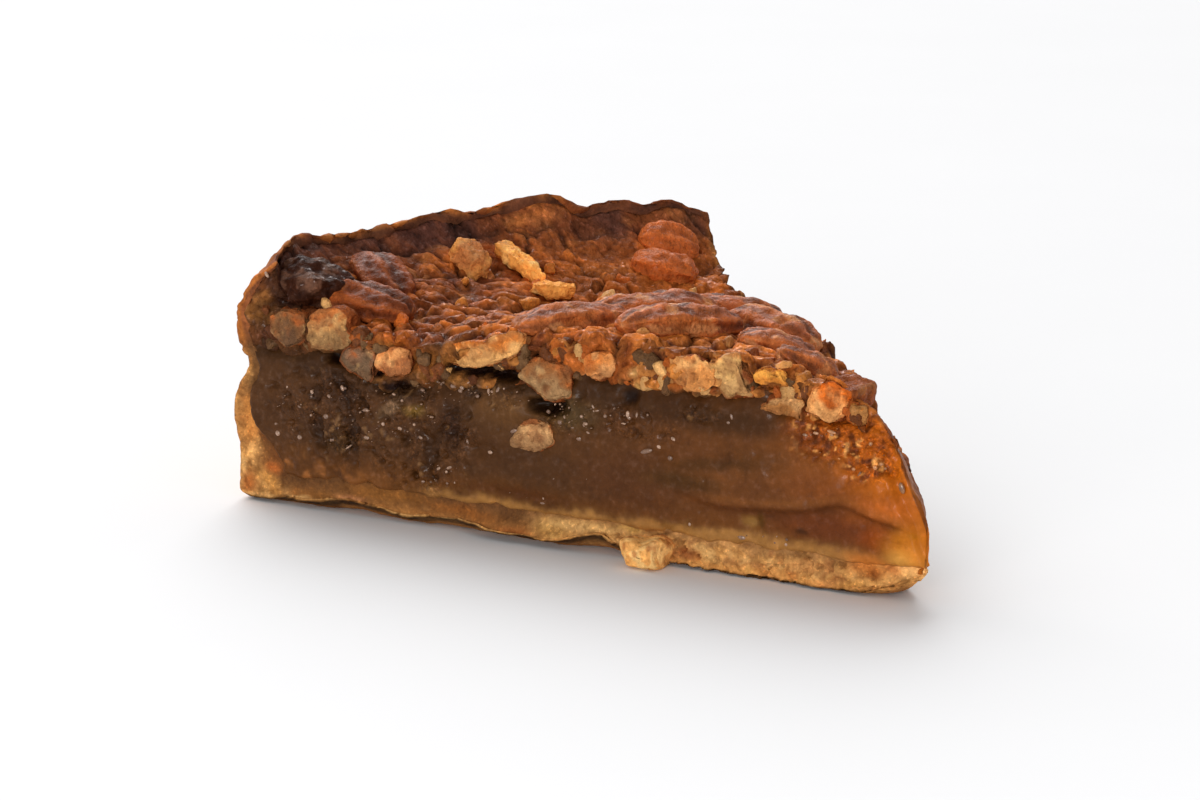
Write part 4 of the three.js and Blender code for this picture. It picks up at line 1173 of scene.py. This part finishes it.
def caramel_colours(s, points, v, radius, angle, relief):
    """Red caramel: orange on some of its nuts, painted light on its high lumps, painted shade in its hollows,
    cracks, grooves, gaps and grain seams, dark in its climb, broken open on the cuts.
    """
    rise, crack, tone, groove, grain, nut = relief
    climbed, on_top = climb(radius, angle), step(v, 0.4, 1.0)
    cloud, small = rough(points, 9, 107), rough(points, 2.0, 108)
    streaky = points * np.array([1.0, 0.45, 1.0])
    tint = plain_tint(s.caramel_red, len(points))
    lay(
        tint,
        (step(cloud, 0.1, 0.7) * 0.5, rgb(120, 66, 34)),
        (nut * step(tone, 0.5, 0.95) * 0.75, rgb(204, 108, 44)),
        (nut * step(tone, 0.35, 0.05) * 0.5, rgb(104, 50, 26)),
        # Painted shade in the grooves of the buried nuts.
        (nut * groove * 0.45, s.burnt_caramel_and_crevice_shade),
        ((1 - nut) * 0.3, rgb(104, 58, 30)),
        (step(grain, 0.7, 0.95) * 0.6, s.caramel_orange),
        # Painted light on the high lumps, then painted shade in the low hollows.
        (step(rise, 0.1, 1.1) * 0.7 * on_top, rgb(216, 124, 54)),
        ((1 - step(rise, -1.2, 0.1)) * 0.85 * on_top, rgb(62, 29, 20)),
        (spots(streaky, 4.2, 111, 0.1, 0.45) * on_top * 0.55, rgb(104, 50, 36)),
        (spots(streaky, 5.4, 112, 0.1, 0.5) * on_top * 0.5, rgb(164, 98, 44)),
        (spots(streaky, 3.2, 113, 0.15, 0.45, 4) * on_top * 0.7, rgb(68, 32, 22)),
        (spots(streaky, 2.2, 114, 0.3, 0.55, 4) * on_top * 0.6, rgb(226, 146, 84)),
        (step(radius, 78, 98) * (1 - step(angle, -10, 6)) * 0.35, rgb(104, 56, 32)),
        (step(radius, 62, 76) * step(angle, -6, 8) * on_top * 0.4, rgb(186, 106, 50)),
        ((1 - step(radius, 45, 80)) * on_top * step(small, -0.5, 0.3) * 0.6, rgb(226, 138, 68)),
        (bump(radius, 90, 12) * step(angle, 0, 8) * on_top * 0.4, rgb(210, 118, 50)),
        (step(climbed, 0.1, 0.7) * np.clip(0.8 + cloud, 0, 1) * 0.85, rgb(86, 55, 52)),
        (step(climbed, 0.1, 0.6) * step(small, 0.2, 0.6) * 0.4, rgb(150, 88, 60)),
    )
    cut = on_cuts(points, -1.0, -0.3)
    near, second, own = cells(points * np.array([0.8, 0.8, 1]), 2.6, 101)
    lay(
        tint,
        (cut * step(own, 0.35, 0.6) * 0.7, rgb(168, 94, 42)),
        (cut * step(own, 0.68, 0.85) * 0.7, rgb(206, 140, 78)),
        (cut * step(own, 0.3, 0.1) * 0.7, rgb(84, 48, 28)),
        # Painted shade in the seams between the grains of the cut.
        (cut * bump(second - near, 0, 0.09) * 0.6, s.burnt_caramel_and_crevice_shade),
        (cut * step(radius, 60, 75) * 0.4, rgb(104, 70, 44)),
    )
    lay_patches(tint, points, CARAMEL_PATCHES, 0.7 * step(cut_frame(points, "near")[2], -1.6, -0.4))
    above = np.where(points[:, 1] < 0, above_seam(points, "near"), above_seam(points, "far")) + 2.2 * small
    hollow = np.maximum(*(step(gap_depth(points, side), 0.4, 1.4) for side in SIDES)) * cut
    lay(
        tint,
        (cut * step(above, 0.6 + 4.2 * step(radius, 76, 94), -0.8) * 0.9, rgb(74, 50, 33)),
        # Painted shade in the gaps of the cuts and the cracks of the top.
        (np.maximum(hollow, crack * on_top * 0.8), rgb(30, 14, 10)),
        (bump(radius, 107, 6) * bump(angle, -20.5, 3.5) * 0.8, s.burnt_caramel_and_crevice_shade),
    )
    return tint


def burnt_lump(s):
    """The burnt lump in the rim's near corner: a chopped block with knobs, kept inside the wall."""
    way, quads = directions(30)
    turn = np.array(Euler((0, 0.3, 0.4), "XYZ").to_matrix())
    lump = way * chopped(way, 12)[:, None] * np.array([11, 7.5, 8]) / 2 @ turn.T
    knobs = 0.7 * rough(lump, 3, 121, 4) + 0.6 * (0.5 - cells(lump, 1.8, 122)[0])
    lump = lump + normals(lump, quads) * knobs[:, None] + place(105.6, -19.6, 32.4)
    radius = np.hypot(TIP_X - lump[:, 0], lump[:, 1])
    angle = np.degrees(np.arctan2(lump[:, 1], TIP_X - lump[:, 0]))
    too_far = np.minimum(1, (inner_radius(lump[:, 2], angle) - 0.1) / radius)
    lump[:, 0] = TIP_X + (lump[:, 0] - TIP_X) * too_far
    lump[:, 1] *= too_far
    tint = plain_tint(s.burnt_caramel_and_crevice_shade, len(lump))
    lay(
        tint,
        (spots(lump, 2.2, 123, 0.0, 0.5) * 0.6, rgb(128, 92, 80)),
        (spots(lump, 4, 124, 0.3, 0.6) * 0.6, rgb(134, 74, 36)),
    )
    return lump, quads, {"tint": tint}


class PIE_OT_caramel(bpy.types.Operator):
    """The caramel and nut layer: lumpy on top, climbing the rim, crumbling open on the cuts."""

    bl_idname = "pie.caramel"
    bl_label = "Caramel and nut layer"

    def execute(self, context):
        s = context.scene.pie
        along, upwards, around = 222, 15, 172
        u, v, w, quads = lattice(spaced(along), spaced(upwards), spaced(around, 0.2))
        before = caramel_form(u, v, w)
        angle = HALF * (2 * w - 1)
        radius = np.hypot(TIP_X - before[:, 0], before[:, 1])
        relief = top_relief(before, s.nut_bed_count)
        lift = relief[0] * (1 - 0.5 * climb(radius, angle)) + 0.3 * ripple(before[:, 0], before[:, 1], 9, 4.2)
        points = raise_cuts(before, caramel_relief)
        points[:, 2] += step(v, 0.4, 1.0) * lift
        layer = (points, quads, {"tint": caramel_colours(s, before, v, radius, angle, relief)})
        shells = [layer, burnt_lump(s)]
        add_piece("baked_caramel", shells, caramel_paint(), ["nut_layer"])
        return {"FINISHED"}


# ------------------------------------------------------------------ nuts and crumbs

# At a cut: distance from the tip, height, the nut's length and height, rise to the tip, upper and lower levels.
NEAR_NUTS = (
    (106, 26.9, 6.6, 6, -5, (130, 90, 58), (108, 78, 56)),
    (98.2, 27.6, 7, 5.8, 8, (196, 144, 90), (156, 120, 80)),
    (93.4, 23.7, 6.2, 4.8, -15, (132, 98, 76), (112, 88, 68)),
    (87, 24.2, 7.6, 4.8, 20, (226, 158, 100), (178, 112, 68)),
    (70.8, 27.3, 14, 4, 13, (206, 122, 54), (232, 176, 112)),
    (60.8, 24, 10.4, 6.6, -12, (146, 94, 54), (158, 124, 88)),
    (62.9, 16.2, 7, 4.8, -8, (216, 168, 118), (164, 124, 86)),
    (52, 27.2, 5, 4.6, 30, (206, 128, 66), (222, 156, 100)),
    (37.4, 28, 7.4, 5.2, 6, (240, 180, 116), (212, 142, 80)),
    (31.2, 27.8, 4.8, 6.6, 24, (240, 192, 124), (200, 158, 106)),
    (25.2, 28.8, 5.4, 3.4, 12, (240, 172, 80), (212, 136, 58)),
    (23.4, 25.2, 6.4, 3, -8, (244, 192, 132), (190, 134, 76)),
    (16, 26.6, 6.6, 5.4, -14, (228, 112, 30), (240, 172, 108)),
)
FAR_NUTS = (
    (97, 22.2, 8, 5, 12, (160, 118, 74), (190, 146, 92)),
    (82, 21.8, 10, 4.6, -8, (206, 140, 74), (214, 168, 110)),
    (68, 22.8, 7, 5.4, 25, (140, 106, 70), (150, 122, 84)),
    (53, 22.8, 11, 4.6, -6, (214, 156, 92), (206, 158, 104)),
    (37, 21.2, 8, 5.2, 14, (196, 136, 76), (210, 164, 108)),
)
# On the top: distance from the tip, angle, size, heading, tilt, how high the middle sits.
TOP_PECANS = (
    (98, -17.6, (17, 9, 6), 12, -4, 0.6), (104.5, -11.6, (15, 9.5, 6), -20, 4, 0.4),
    (109, 18.4, (11, 7.5, 5.5), 80, 0, 0.6), (101.6, 16.6, (12, 7.5, 5.5), 55, 0, 0.8),
    (64, -13.5, (21, 10, 6), 70, 3, 0.6), (67, 3, (22, 10.5, 6.5), 80, -3, 0.6),
    (68, 15.2, (17, 9, 5.8), 55, 3, 0.4), (48.5, -7.5, (21, 9.5, 6), 78, 0, 0.9),
    (49, 13, (17, 9.5, 6), 24, 4, 0.9), (34.5, 2.5, (16, 8.5, 5.6), 84, 3, 0.5),
    (24, -4, (13, 7, 5), 70, 2, 0.3),
)
TOP_CRUMBS = (
    (105.4, -1.6, (5.8, 5, 4.6), 0, 0, 0.9), (101.6, 2.4, (12, 3.6, 3.4), 4, 0, 1.5),
    (92.6, 2.4, (8, 4, 3.2), 72, 0, 1.1),
)


def directions(count):
    """Unit directions from the skin of a cube of stations, evened out by the tangent."""
    u, v, w, quads = lattice(*[np.tan(np.linspace(-1, 1, count) * math.pi / 4)] * 3)
    cube = np.stack([u, v, w], axis=-1)
    return cube / np.linalg.norm(cube, axis=1, keepdims=True), quads


def chopped(way, seed):
    """A chopped nut's reach each way: a high-power mean of thirteen planes, seven of them at random."""
    random = seeded(seed)
    planes = [(sign * np.eye(3)[axis], 1.0) for axis in range(3) for sign in (1, -1)]
    for _ in range(7):
        normal = np.array([next(random) - 0.5 for _ in range(3)])
        planes.append((normal / np.linalg.norm(normal), 0.82 + 0.16 * next(random)))
    total = sum(np.maximum(0, way @ normal / distance) ** 14 for normal, distance in planes)
    return total ** (-1 / 14)


def halved(way, seed):
    """Half a pecan's reach each way: seven lengthwise ridges, a groove down its back and tapered ends."""
    phase = next(seeded(seed)) * 2
    around = np.arctan2(way[:, 2], way[:, 1])
    middle = 1 - way[:, 0] ** 2
    bend = 0.5 * np.sin(3 * way[:, 0] + 5 * phase)
    ridges = 0.05 * np.cos(7 * around + phase + bend) - 0.12 * bump(around, math.pi / 2, 0.28)
    return 1 + middle * ridges - 0.06 * way[:, 0] ** 4


def lying(distance, angle, heading, tilt, sits):
    """The turn and middle of a piece that lies on the top with its back along the surface's normal."""
    swing = math.degrees(3 / distance)

    def on_top(r, a):
        return Vector(place(r, a, full_top(r, a)))

    outward = on_top(distance + 3, angle) - on_top(distance - 3, angle)
    around = on_top(distance, angle + swing) - on_top(distance, angle - swing)
    up = around.cross(outward).normalized()
    level = math.radians(heading - angle)
    across = up.cross(Vector((math.cos(level), math.sin(level), 0))).normalized()
    basis = Matrix((across.cross(up), across, up)).transposed()
    turn = basis @ Matrix.Rotation(math.radians(tilt), 3, "Y")
    return np.array(turn), np.array(on_top(distance, angle)) + (0, 0, sits)


def cut_nut(row, number, side):
    """A nut at a cut: its grainy broken face stands a little out of the cut, with skin and film round it."""
    distance, height, length, tall, rise, upper, lower = row
    upper, lower = rgb(*upper), rgb(*lower)
    way, quads = directions(30)
    seed = 31 + 7 * number + (500 if side == "far" else 0)
    local = way * chopped(way, seed)[:, None] * np.array([length, 9, tall]) / 2
    turn = np.array(Euler((0, -math.radians(rise), -math.radians(cut_angle(side))), "XYZ").to_matrix())
    centre = place(distance, cut_angle(side), height) - 1.6 * cut_normal(side)
    points = local @ turn.T + centre
    fray = 0.6 * min(1, tall / 5.5) * rough(points, 3.4, seed, 4)
    fray = fray + 0.2 * (0.5 - cells(points, 1.6, seed + 5)[0])
    bites = np.clip(rough(local, 3.6, seed + 10), 0.1, 1) - 0.1
    points = points + normals(points, quads) * (fray - 1.6 * bites)[:, None]
    face = CUT_PROUD + 0.1 + 0.6 * rough(points, 4.2, seed + 1, 4)
    face = face + 0.2 * (0.4 - cells(points, 1.9, seed + 2)[0])
    proud = cut_frame(points, side)[2] - face
    over = np.maximum(0, proud + 0.6 * bump(proud, 0, 0.8))
    points = points - over[:, None] * cut_normal(side)
    crag = 0.24 * rough(points, 1.0, seed + 8, 2) + 0.16 * (0.4 - cells(points, 0.9, seed + 9)[0])
    points = points + normals(points, quads) * crag[:, None]
    flesh = step(over, 0.02, 0.35)
    edge = np.hypot(local[:, 0] / length, local[:, 2] / tall) * 2
    film = step(rough(points, 3.0, seed + 3, 4) + 0.9 * (edge - 0.75), 0.15, 0.6) * 0.6
    high = np.clip(0.5 + local[:, 2] / tall + 0.5 * rough(points, 2, seed + 4), 0, 1)
    tint = plain_tint(rgb(140, 74, 36), len(points))
    lay(
        tint,
        (flesh, lower),
        (flesh * step(high, 0.35, 0.75), upper),
        (flesh * step(high, 0.72, 0.98) * 0.7, rgb(190, 100, 42)),
        (flesh * step(high, 0.3, 0.02) * 0.4, rgb(110, 76, 50)),
        (film, 0.45 * np.array(rgb(140, 78, 40)) + 0.55 * np.array(lower) * 0.6),
        (spots(points, 1.7, seed + 6, 0.2, 0.6) * flesh * 0.6, 0.5 * (np.array(CREAM) + lower)),
        (spots(points, 1.2, seed + 7, 0.35, 0.7) * flesh * 0.5, rgb(110, 62, 32)),
        (step(over, 0.9, 0.1) * flesh * 0.6, rgb(136, 72, 32)),
        (step(bites, 0.05, 0.25) * 0.45, rgb(124, 70, 38)),
    )
    return points, quads, {"tint": tint}


class PIE_OT_cut_nuts(bpy.types.Operator):
    """The nuts that the knife has met in both cuts."""

    bl_idname = "pie.cut_nuts"
    bl_label = "Cut nuts"

    def execute(self, context):
        paint = nut_paint("broken pecan", 0.04)
        for side, rows in zip(SIDES, (NEAR_NUTS, FAR_NUTS)):
            shells = [cut_nut(row, number, side) for number, row in enumerate(rows)]
            add_piece(f"{side}_broken_nuts", shells, paint, nodes_of(f"{side}_cut_nut"))
        return {"FINISHED"}


def pecan(row, number, s):
    """Half a pecan on the top, wrinkled across its ridges and chipped, with painted light on its ridges, a
    painted sheen on its crests and painted shade in its grooves.
    """
    distance, angle, size, heading, tilt, sits = row
    way, quads = directions(38)
    around = np.arctan2(way[:, 2], way[:, 1])
    turn, centre = lying(distance, angle, heading, tilt, sits)
    local = way * halved(way, 11 + number)[:, None] * np.array(size) / 2
    wrinkle = 0.7 * rough(local, 3.0, 200 + number, 4) + 0.3 * (0.5 - cells(local, 1.6, 230 + number)[0])
    chips = np.clip(rough(local, 5, 300 + number), 0.2, 1) - 0.2
    local = local + normals(local, quads) * (wrinkle - 1.3 * chips)[:, None]
    ridge = np.cos(7 * around + next(seeded(11 + number)) * 2)
    groove = np.clip(0.6 * -ridge + 0.9 * bump(around, math.pi / 2, 0.3) + 0.3 * rough(local, 2, 400), 0, 1)
    crest_sheen = step(local[:, 2] / size[2], 0.12, 0.4) * spots(local, 3.4, 450 + number, -0.2, 0.3, 4)
    at_rim, front = distance > 95, distance < 75
    tint = plain_tint(s.nut_skin, len(local))
    lay(
        tint,
        (0.5 * (1 - step(distance, 70, 90)), rgb(204, 118, 64)),
        (0.6 * (at_rim and angle > 0), rgb(206, 108, 50)),
        (spots(local, 4, 420 + number, 0, 0.6, 4) * 0.6, rgb(190, 96, 42)),
        (spots(local, 3, 430 + number, 0.15, 0.5, 4) * 0.6, rgb(76, 38, 26)),
        (spots(local, 5, 440 + number, 0.05, 0.5) * 0.5, rgb(116, 58, 40)),
        # Painted light on the ridge tops, and a painted sheen on the crests.
        (step(ridge, 0.3, 1) * 0.4, rgb(214, 122, 62)),
        (crest_sheen * (0.5 if distance < 90 else 0.1), rgb(176, 110, 90)),
        (0.5 * (at_rim and angle < 0), rgb(126, 62, 26)),
        # Painted shade in the grooves.
        (groove * 0.7, s.burnt_caramel_and_crevice_shade),
        (step(chips, 0.05, 0.3) * 0.7, rgb(178, 104, 54)),
        (spots(local, 2.6, 460 + number, 0.2, 0.5, 4) * (0.55 if front else 0.1), rgb(222, 156, 104)),
        (0.5 * (at_rim and angle > 0), rgb(208, 108, 48)),
    )
    return local @ turn.T + centre, quads, {"tint": tint}


def crumb(row, number):
    """A loose toasted crumb on the top."""
    distance, angle, size, heading, tilt, sits = row
    way, quads = directions(24)
    turn, centre = lying(distance, angle, heading, tilt, sits)
    local = way * chopped(way, 901 + number)[:, None] * np.array(size) / 2
    lumps = 0.8 * rough(local, 2.2, 500 + number, 4) + 0.5 * (0.5 - cells(local, 1.2, 510 + number)[0]) - 0.25
    local = local + normals(local, quads) * lumps[:, None]
    tint = plain_tint(rgb(255, 178, 92), len(local))
    lay(
        tint,
        (spots(local, 2.5, 520 + number, 0, 0.6) * 0.6, rgb(255, 222, 150)),
        (spots(local, 1.8, 530 + number, 0.3, 0.7) * 0.5, rgb(186, 100, 44)),
        ((0.75 if number == 0 else 0.0) * spots(local, 4, 540, -0.6, 0.2), rgb(176, 104, 68)),
    )
    return local @ turn.T + centre, quads, {"tint": tint}


class PIE_OT_top_pieces(bpy.types.Operator):
    """The pecan halves and loose crumbs on the top."""

    bl_idname = "pie.top_pieces"
    bl_label = "Pecans and crumbs"

    def execute(self, context):
        s = context.scene.pie
        pecans = [pecan(row, number, s) for number, row in enumerate(TOP_PECANS)]
        glazed = nut_paint("glazed pecan", 0.15)
        add_piece("pecan_halves", pecans, glazed, nodes_of("top_pecan"))
        crumbs = [crumb(row, number) for number, row in enumerate(TOP_CRUMBS)]
        add_piece("toasted_crumbs", crumbs, nut_paint("toasted crumb", 0.02), nodes_of("top_crumb"))
        return {"FINISHED"}


# Levels of the chopped nuts' colours: four pale and orange ones, then four dark ones.
CHIP_TONES = (
    (232, 178, 116), (204, 142, 82), (212, 134, 62), (196, 102, 40),
    (128, 74, 40), (112, 80, 52), (104, 60, 34), (132, 98, 66),
)


class PIE_OT_chopped(bpy.types.Operator):
    """Chopped nuts turned at random: half sunk in the top by the golden section, and bits in the cuts."""

    bl_idname = "pie.chopped"
    bl_label = "Chopped nuts"

    def execute(self, context):
        s = context.scene.pie
        random = seeded(2024)
        way, quads = directions(8)
        shells = []

        def chip(number, size, centre, tone, side=None):
            spin = Euler((3 * next(random), 3 * next(random), 6 * next(random))).to_matrix()
            local = way * chopped(way, 3000 + number)[:, None] * size / 2 @ np.array(spin).T
            bumps = 0.45 * rough(local, 1.6, 3000 + number, 4) + 0.3 * (0.5 - cells(local, 1.0, number)[0])
            points = local + normals(local, quads) * bumps[:, None] + centre
            tone = rgb(*CHIP_TONES[int(tone)])
            tint = plain_tint(tone, len(local))
            lay(tint, (spots(local, 2, 60 + number, 0, 0.5) * (0.3 if side else 0.4), rgb(140, 74, 34)))
            if side:
                over = np.maximum(0, cut_frame(points, side)[2] - 0.3 - 0.4 * rough(points, 2, number))
                points = points - over[:, None] * cut_normal(side)
                lay(tint, ((1 - step(over, 0.1, 0.6)) * 0.8, 0.6 * np.array(tone)))
            shells.append((points, quads, {"tint": tint}))

        for i in range(s.chopped_count):
            distance = 13 + 95 * math.sqrt((i + 0.5) / s.chopped_count)
            angle = (HALF - 1.5) * (2 * ((i * GOLDEN) % 1) - 1)
            size = np.array([1.3 + 2.2 * next(random) ** 2, 1.2 + next(random), 1.0 + 0.6 * next(random)])
            centre = place(distance, angle, full_top(distance, angle) - 0.1 + 0.5 * next(random))
            chip(i, size, centre, 3.99 * next(random))
        for side, count, spare in (("near", s.chip_count, 1.8), ("far", s.chip_count // 2, 3.8)):
            angle = cut_angle(side)
            for i in range(count):
                distance = 12 + 98 * ((i * GOLDEN + 0.3 * next(random)) % 1) ** 1.2
                low, high = nut_layer_bottom(distance, angle), plain_top(distance, angle)
                here = place(distance, angle, low + 0.6 + (high - low - spare) * next(random))
                size = np.array([1.2, 1.1, 1.0]) + np.array([2.8, 1.7, 1.6]) * next(random) ** 1.4
                if gap_depth(here[None], side)[0] > 0.3 or nut_middles(here[None], side)[0] > 0.45:
                    continue
                dark = distance > 78 or (distance > 62 and next(random) < 0.6)
                tone = (4 + 4 * next(random)) if dark else 5.99 * next(random)
                chip(900 + i, size, here - (0.15 + 0.32 * size[1]) * cut_normal(side), tone, side)
        add_piece("chopped_nuts", shells, nut_paint("chopped pecan", 0.15), [])
        return {"FINISHED"}


# Pale beads on the near cut that stand in for glints of light, painted highlights: distance from the tip,
# height, half length, half height, turn.
GLINT_BEADS = (
    (99, 14.5, 0.45, 0.42, 0), (107.8, 10.9, 0.42, 0.42, 0), (103.8, 10.8, 0.42, 0.38, 0),
    (108, 12.3, 0.35, 0.25, 0), (98.3, 17.6, 0.45, 0.28, 20), (91.8, 12.2, 0.5, 0.28, 0),
    (95, 10.4, 0.7, 0.14, -35), (97.8, 11.2, 0.3, 0.3, 0), (82, 6.9, 0.32, 0.24, 0),
    (80.6, 7.0, 0.28, 0.2, 0), (79.6, 7.3, 0.26, 0.24, 0), (77.8, 7.2, 0.26, 0.24, 0),
    (76.5, 7.5, 0.3, 0.26, 0), (76.6, 21.7, 0.5, 0.34, -20), (75.4, 21.1, 0.38, 0.3, 20),
    (68.7, 20.9, 0.45, 0.4, 30), (70.6, 21.6, 0.2, 0.4, 0), (66.4, 16.3, 0.6, 0.3, -20),
    (75.2, 13.4, 0.6, 0.16, 40), (74.2, 13.8, 0.2, 0.4, -20), (70.4, 12.7, 0.4, 0.26, 0),
    (68.8, 9.4, 0.4, 0.2, -30), (61.6, 6.4, 0.5, 0.2, 0), (59.6, 8.2, 0.3, 0.24, 0),
    (58.7, 18.5, 0.4, 0.34, 20), (56.6, 18, 0.35, 0.2, 0), (55.6, 16.6, 0.5, 0.4, 20),
    (54.8, 21, 0.45, 0.22, 40), (53.2, 21.4, 0.4, 0.2, 60), (52.6, 20.9, 0.5, 0.22, -20),
    (54, 17.6, 0.4, 0.22, 20), (47.6, 21, 0.32, 0.5, 0), (46.1, 21, 0.24, 0.5, 0), (48.6, 19.6, 0.7, 0.16, 0),
    (44.6, 16.1, 1.0, 0.34, -18), (42.5, 17, 0.6, 0.34, 20), (40.8, 15.6, 0.4, 0.36, 0),
    (40.3, 18.4, 0.4, 0.26, 30), (54.2, 10.9, 0.3, 0.22, 0), (31.1, 22.6, 0.3, 0.6, -20),
    (31.6, 21.8, 0.35, 0.3, 0), (11.6, 16.8, 0.24, 0.8, 24), (12.4, 17.7, 0.3, 0.26, 0),
    (9.2, 18.3, 0.34, 0.34, 0), (8.3, 18.9, 0.34, 0.26, 0), (5.2, 16, 0.4, 0.8, -20),
    (15.8, 22.4, 0.7, 0.24, 10), (37.6, 6.6, 0.25, 0.3, 0), (109.2, 34.6, 0.25, 0.5, -40),
)
# Where more glint beads are strewn: distance from the tip, height, half length, half height, number.
GLINT_BEAD_FIELDS = (
    (17, 20.8, 5, 2.4, 20), (57, 19.6, 4.5, 2.6, 34), (76, 20.9, 7, 1.5, 34), (98, 15, 11, 5, 64),
    (69, 21, 6, 1.5, 14), (47, 20.5, 5, 1.6, 10), (9, 19.2, 3, 3, 6), (78, 9, 4, 2, 10), (60, 9, 14, 2.4, 12),
    (86, 16.5, 7, 4, 34), (22, 6.2, 16, 0.7, 12),
)


class PIE_OT_glint_beads(bpy.types.Operator):
    """Painted highlights on the near cut: small pale domes that stand in for glints on syrup and set bubbles,
    some named and more strewn in fields.
    """

    bl_idname = "pie.beads"
    bl_label = "Painted glint beads"

    def execute(self, context):
        random = seeded(99)
        rows = list(GLINT_BEADS)
        for at, height, length, tall, count in GLINT_BEAD_FIELDS:
            for _ in range(count):
                turn, reach = 2 * math.pi * next(random), math.sqrt(next(random))
                size = 0.07 + 0.25 * next(random) ** 4
                rows.append((
                    at + length * reach * math.cos(turn), height + tall * reach * math.sin(turn),
                    size * (1 + 1.2 * next(random) ** 2), size, 140 * (next(random) - 0.5),
                ))
        way, quads = directions(7)
        heading = np.array([-math.cos(math.radians(HALF)), -math.sin(math.radians(HALF)), 0])
        frame_axes = np.array([heading, cut_normal("near"), [0, 0, 1]])
        shells = []
        for at, height, length, tall, turn in rows:
            c, d = math.cos(math.radians(turn)), math.sin(math.radians(turn))
            local = way * np.array([length, 0.22, tall])
            x, y, z = local.T
            local = np.stack([x * c - z * d, y, x * d + z * c], axis=-1)
            centre = place(at, -HALF, height) + 0.12 * cut_normal("near")
            shade = float(draw(np.array([at * 10, height * 10, 1.0]), 5)) ** 0.9
            tint = plain_tint(rgb(190, 160, 140), len(way))
            # Painted glints: orange near the tip, and dimmed at random.
            lay(tint, ((1 - step(at, 12, 24)) * 0.9, rgb(236, 164, 96)), (0.85 * shade, rgb(98, 66, 44)))
            shells.append((local @ frame_axes + centre, quads, {"tint": tint}))
        add_piece("painted_glint_beads", shells, glint_bead_paint(), [])
        return {"FINISHED"}


# ------------------------------------------------------------------ stage


# In metres: half the floor's side, and where the lights and the camera stand and look.
FLOOR_SIDE = 4.0
SUN_SPOT, PANEL_SPOT, LIT_SPOT = (-0.66, 0.2, 0.56), (0.5, -0.8, 0.11), (0, 0, 0.015)
VIEW_SPOT, VIEW_DISTANCE = (-0.06852, 0.03832, 0), 0.6
# The camera's turn from -Y and its rise over the floor in degrees, its focal length and sensor in mm.
VIEW_TURN, VIEW_RISE, FOCAL, SENSOR = 53.65, 12.87, 107.44, 36.0
SUN_ENERGY, SUN_SPREAD, PANEL_ENERGY, PANEL_SIZE, WORLD_STRENGTH = 3.15, 60, 5.3, 0.5, 0.48


class PIE_OT_stage(bpy.types.Operator):
    """The pale floor, the soft light and the camera."""

    bl_idname = "pie.stage"
    bl_label = "Stage"

    def execute(self, context):
        s = context.scene.pie
        scene = context.scene
        mesh = bpy.data.meshes.new("floor")
        corners = [(x * FLOOR_SIDE, y * FLOOR_SIDE, 0) for x, y in ((-1, -1), (1, -1), (1, 1), (-1, 1))]
        mesh.from_pydata(corners, [], [(0, 1, 2, 3)])
        p = Paint("pale floor")
        tone = p.noise(60, 2).step(0.2, 0.8).mix(s.floor, (*[c * 0.99 for c in s.floor[:3]], 1))
        uneven = p.bumped(p.noise(3, 2), 0.02, 0.1)
        mesh.materials.append(p.surface(tone, 0.7, uneven, {"Specular IOR Level": 0.1}))
        floor = bpy.data.objects.new("floor", mesh)
        scene.collection.objects.link(floor)

        world = bpy.data.worlds.new("studio")
        world.use_nodes = True
        background = world.node_tree.nodes["Background"]
        background.inputs["Color"].default_value = (1, 1, 1, 1)
        background.inputs["Strength"].default_value = WORLD_STRENGTH
        scene.world = world

        sun = bpy.data.lights.new("overhead", "SUN")
        sun.energy, sun.angle = SUN_ENERGY, math.radians(SUN_SPREAD)
        panel = bpy.data.lights.new("front", "AREA")
        panel.shape, panel.size, panel.energy = "DISK", PANEL_SIZE, PANEL_ENERGY
        for light, spot in ((sun, SUN_SPOT), (panel, PANEL_SPOT)):
            lamp = bpy.data.objects.new(light.name, light)
            lamp.location = spot
            lamp.rotation_euler = (Vector(LIT_SPOT) - Vector(spot)).to_track_quat("-Z", "Y").to_euler()
            scene.collection.objects.link(lamp)

        lens = bpy.data.cameras.new("camera")
        lens.lens, lens.sensor_width = FOCAL, SENSOR
        lens.clip_start, lens.clip_end = 0.01, 20
        camera = bpy.data.objects.new("camera", lens)
        turn, rise = math.radians(VIEW_TURN), math.radians(VIEW_RISE)
        back = Vector((math.sin(turn) * math.cos(rise), -math.cos(turn) * math.cos(rise), math.sin(rise)))
        camera.location = Vector(VIEW_SPOT) + VIEW_DISTANCE * back
        camera.rotation_euler = back.to_track_quat("Z", "Y").to_euler()
        scene.collection.objects.link(camera)
        scene.camera = camera
        scene.view_settings.view_transform = "Standard"
        return {"FINISHED"}


class PIE_PT_panel(bpy.types.Panel):
    """Settings and steps of the slice."""

    bl_idname = "PIE_PT_panel"
    bl_label = "Pecan pie"
    bl_space_type = "VIEW_3D"
    bl_region_type = "UI"
    bl_category = "Pecan pie"

    def draw(self, context):
        for name in PieSettings.__annotations__:
            self.layout.prop(context.scene.pie, name)
        for operator in OPERATORS:
            self.layout.operator(operator.bl_idname)


OPERATORS = (
    PIE_OT_stage, PIE_OT_crust, PIE_OT_filling, PIE_OT_caramel,
    PIE_OT_cut_nuts, PIE_OT_top_pieces, PIE_OT_chopped, PIE_OT_glint_beads,
)
CLASSES = (PieSettings, *OPERATORS, PIE_PT_panel)


def register():
    for each in CLASSES:
        bpy.utils.register_class(each)
    bpy.types.Scene.pie = PointerProperty(type=PieSettings)


def unregister():
    del bpy.types.Scene.pie
    for each in reversed(CLASSES):
        bpy.utils.unregister_class(each)


def main():
    """Makes the stage and every piece."""
    register()
    for operator in OPERATORS:
        group, name = operator.bl_idname.split(".")
        getattr(getattr(bpy.ops, group), name)()


if __name__ == "__main__":
    main()
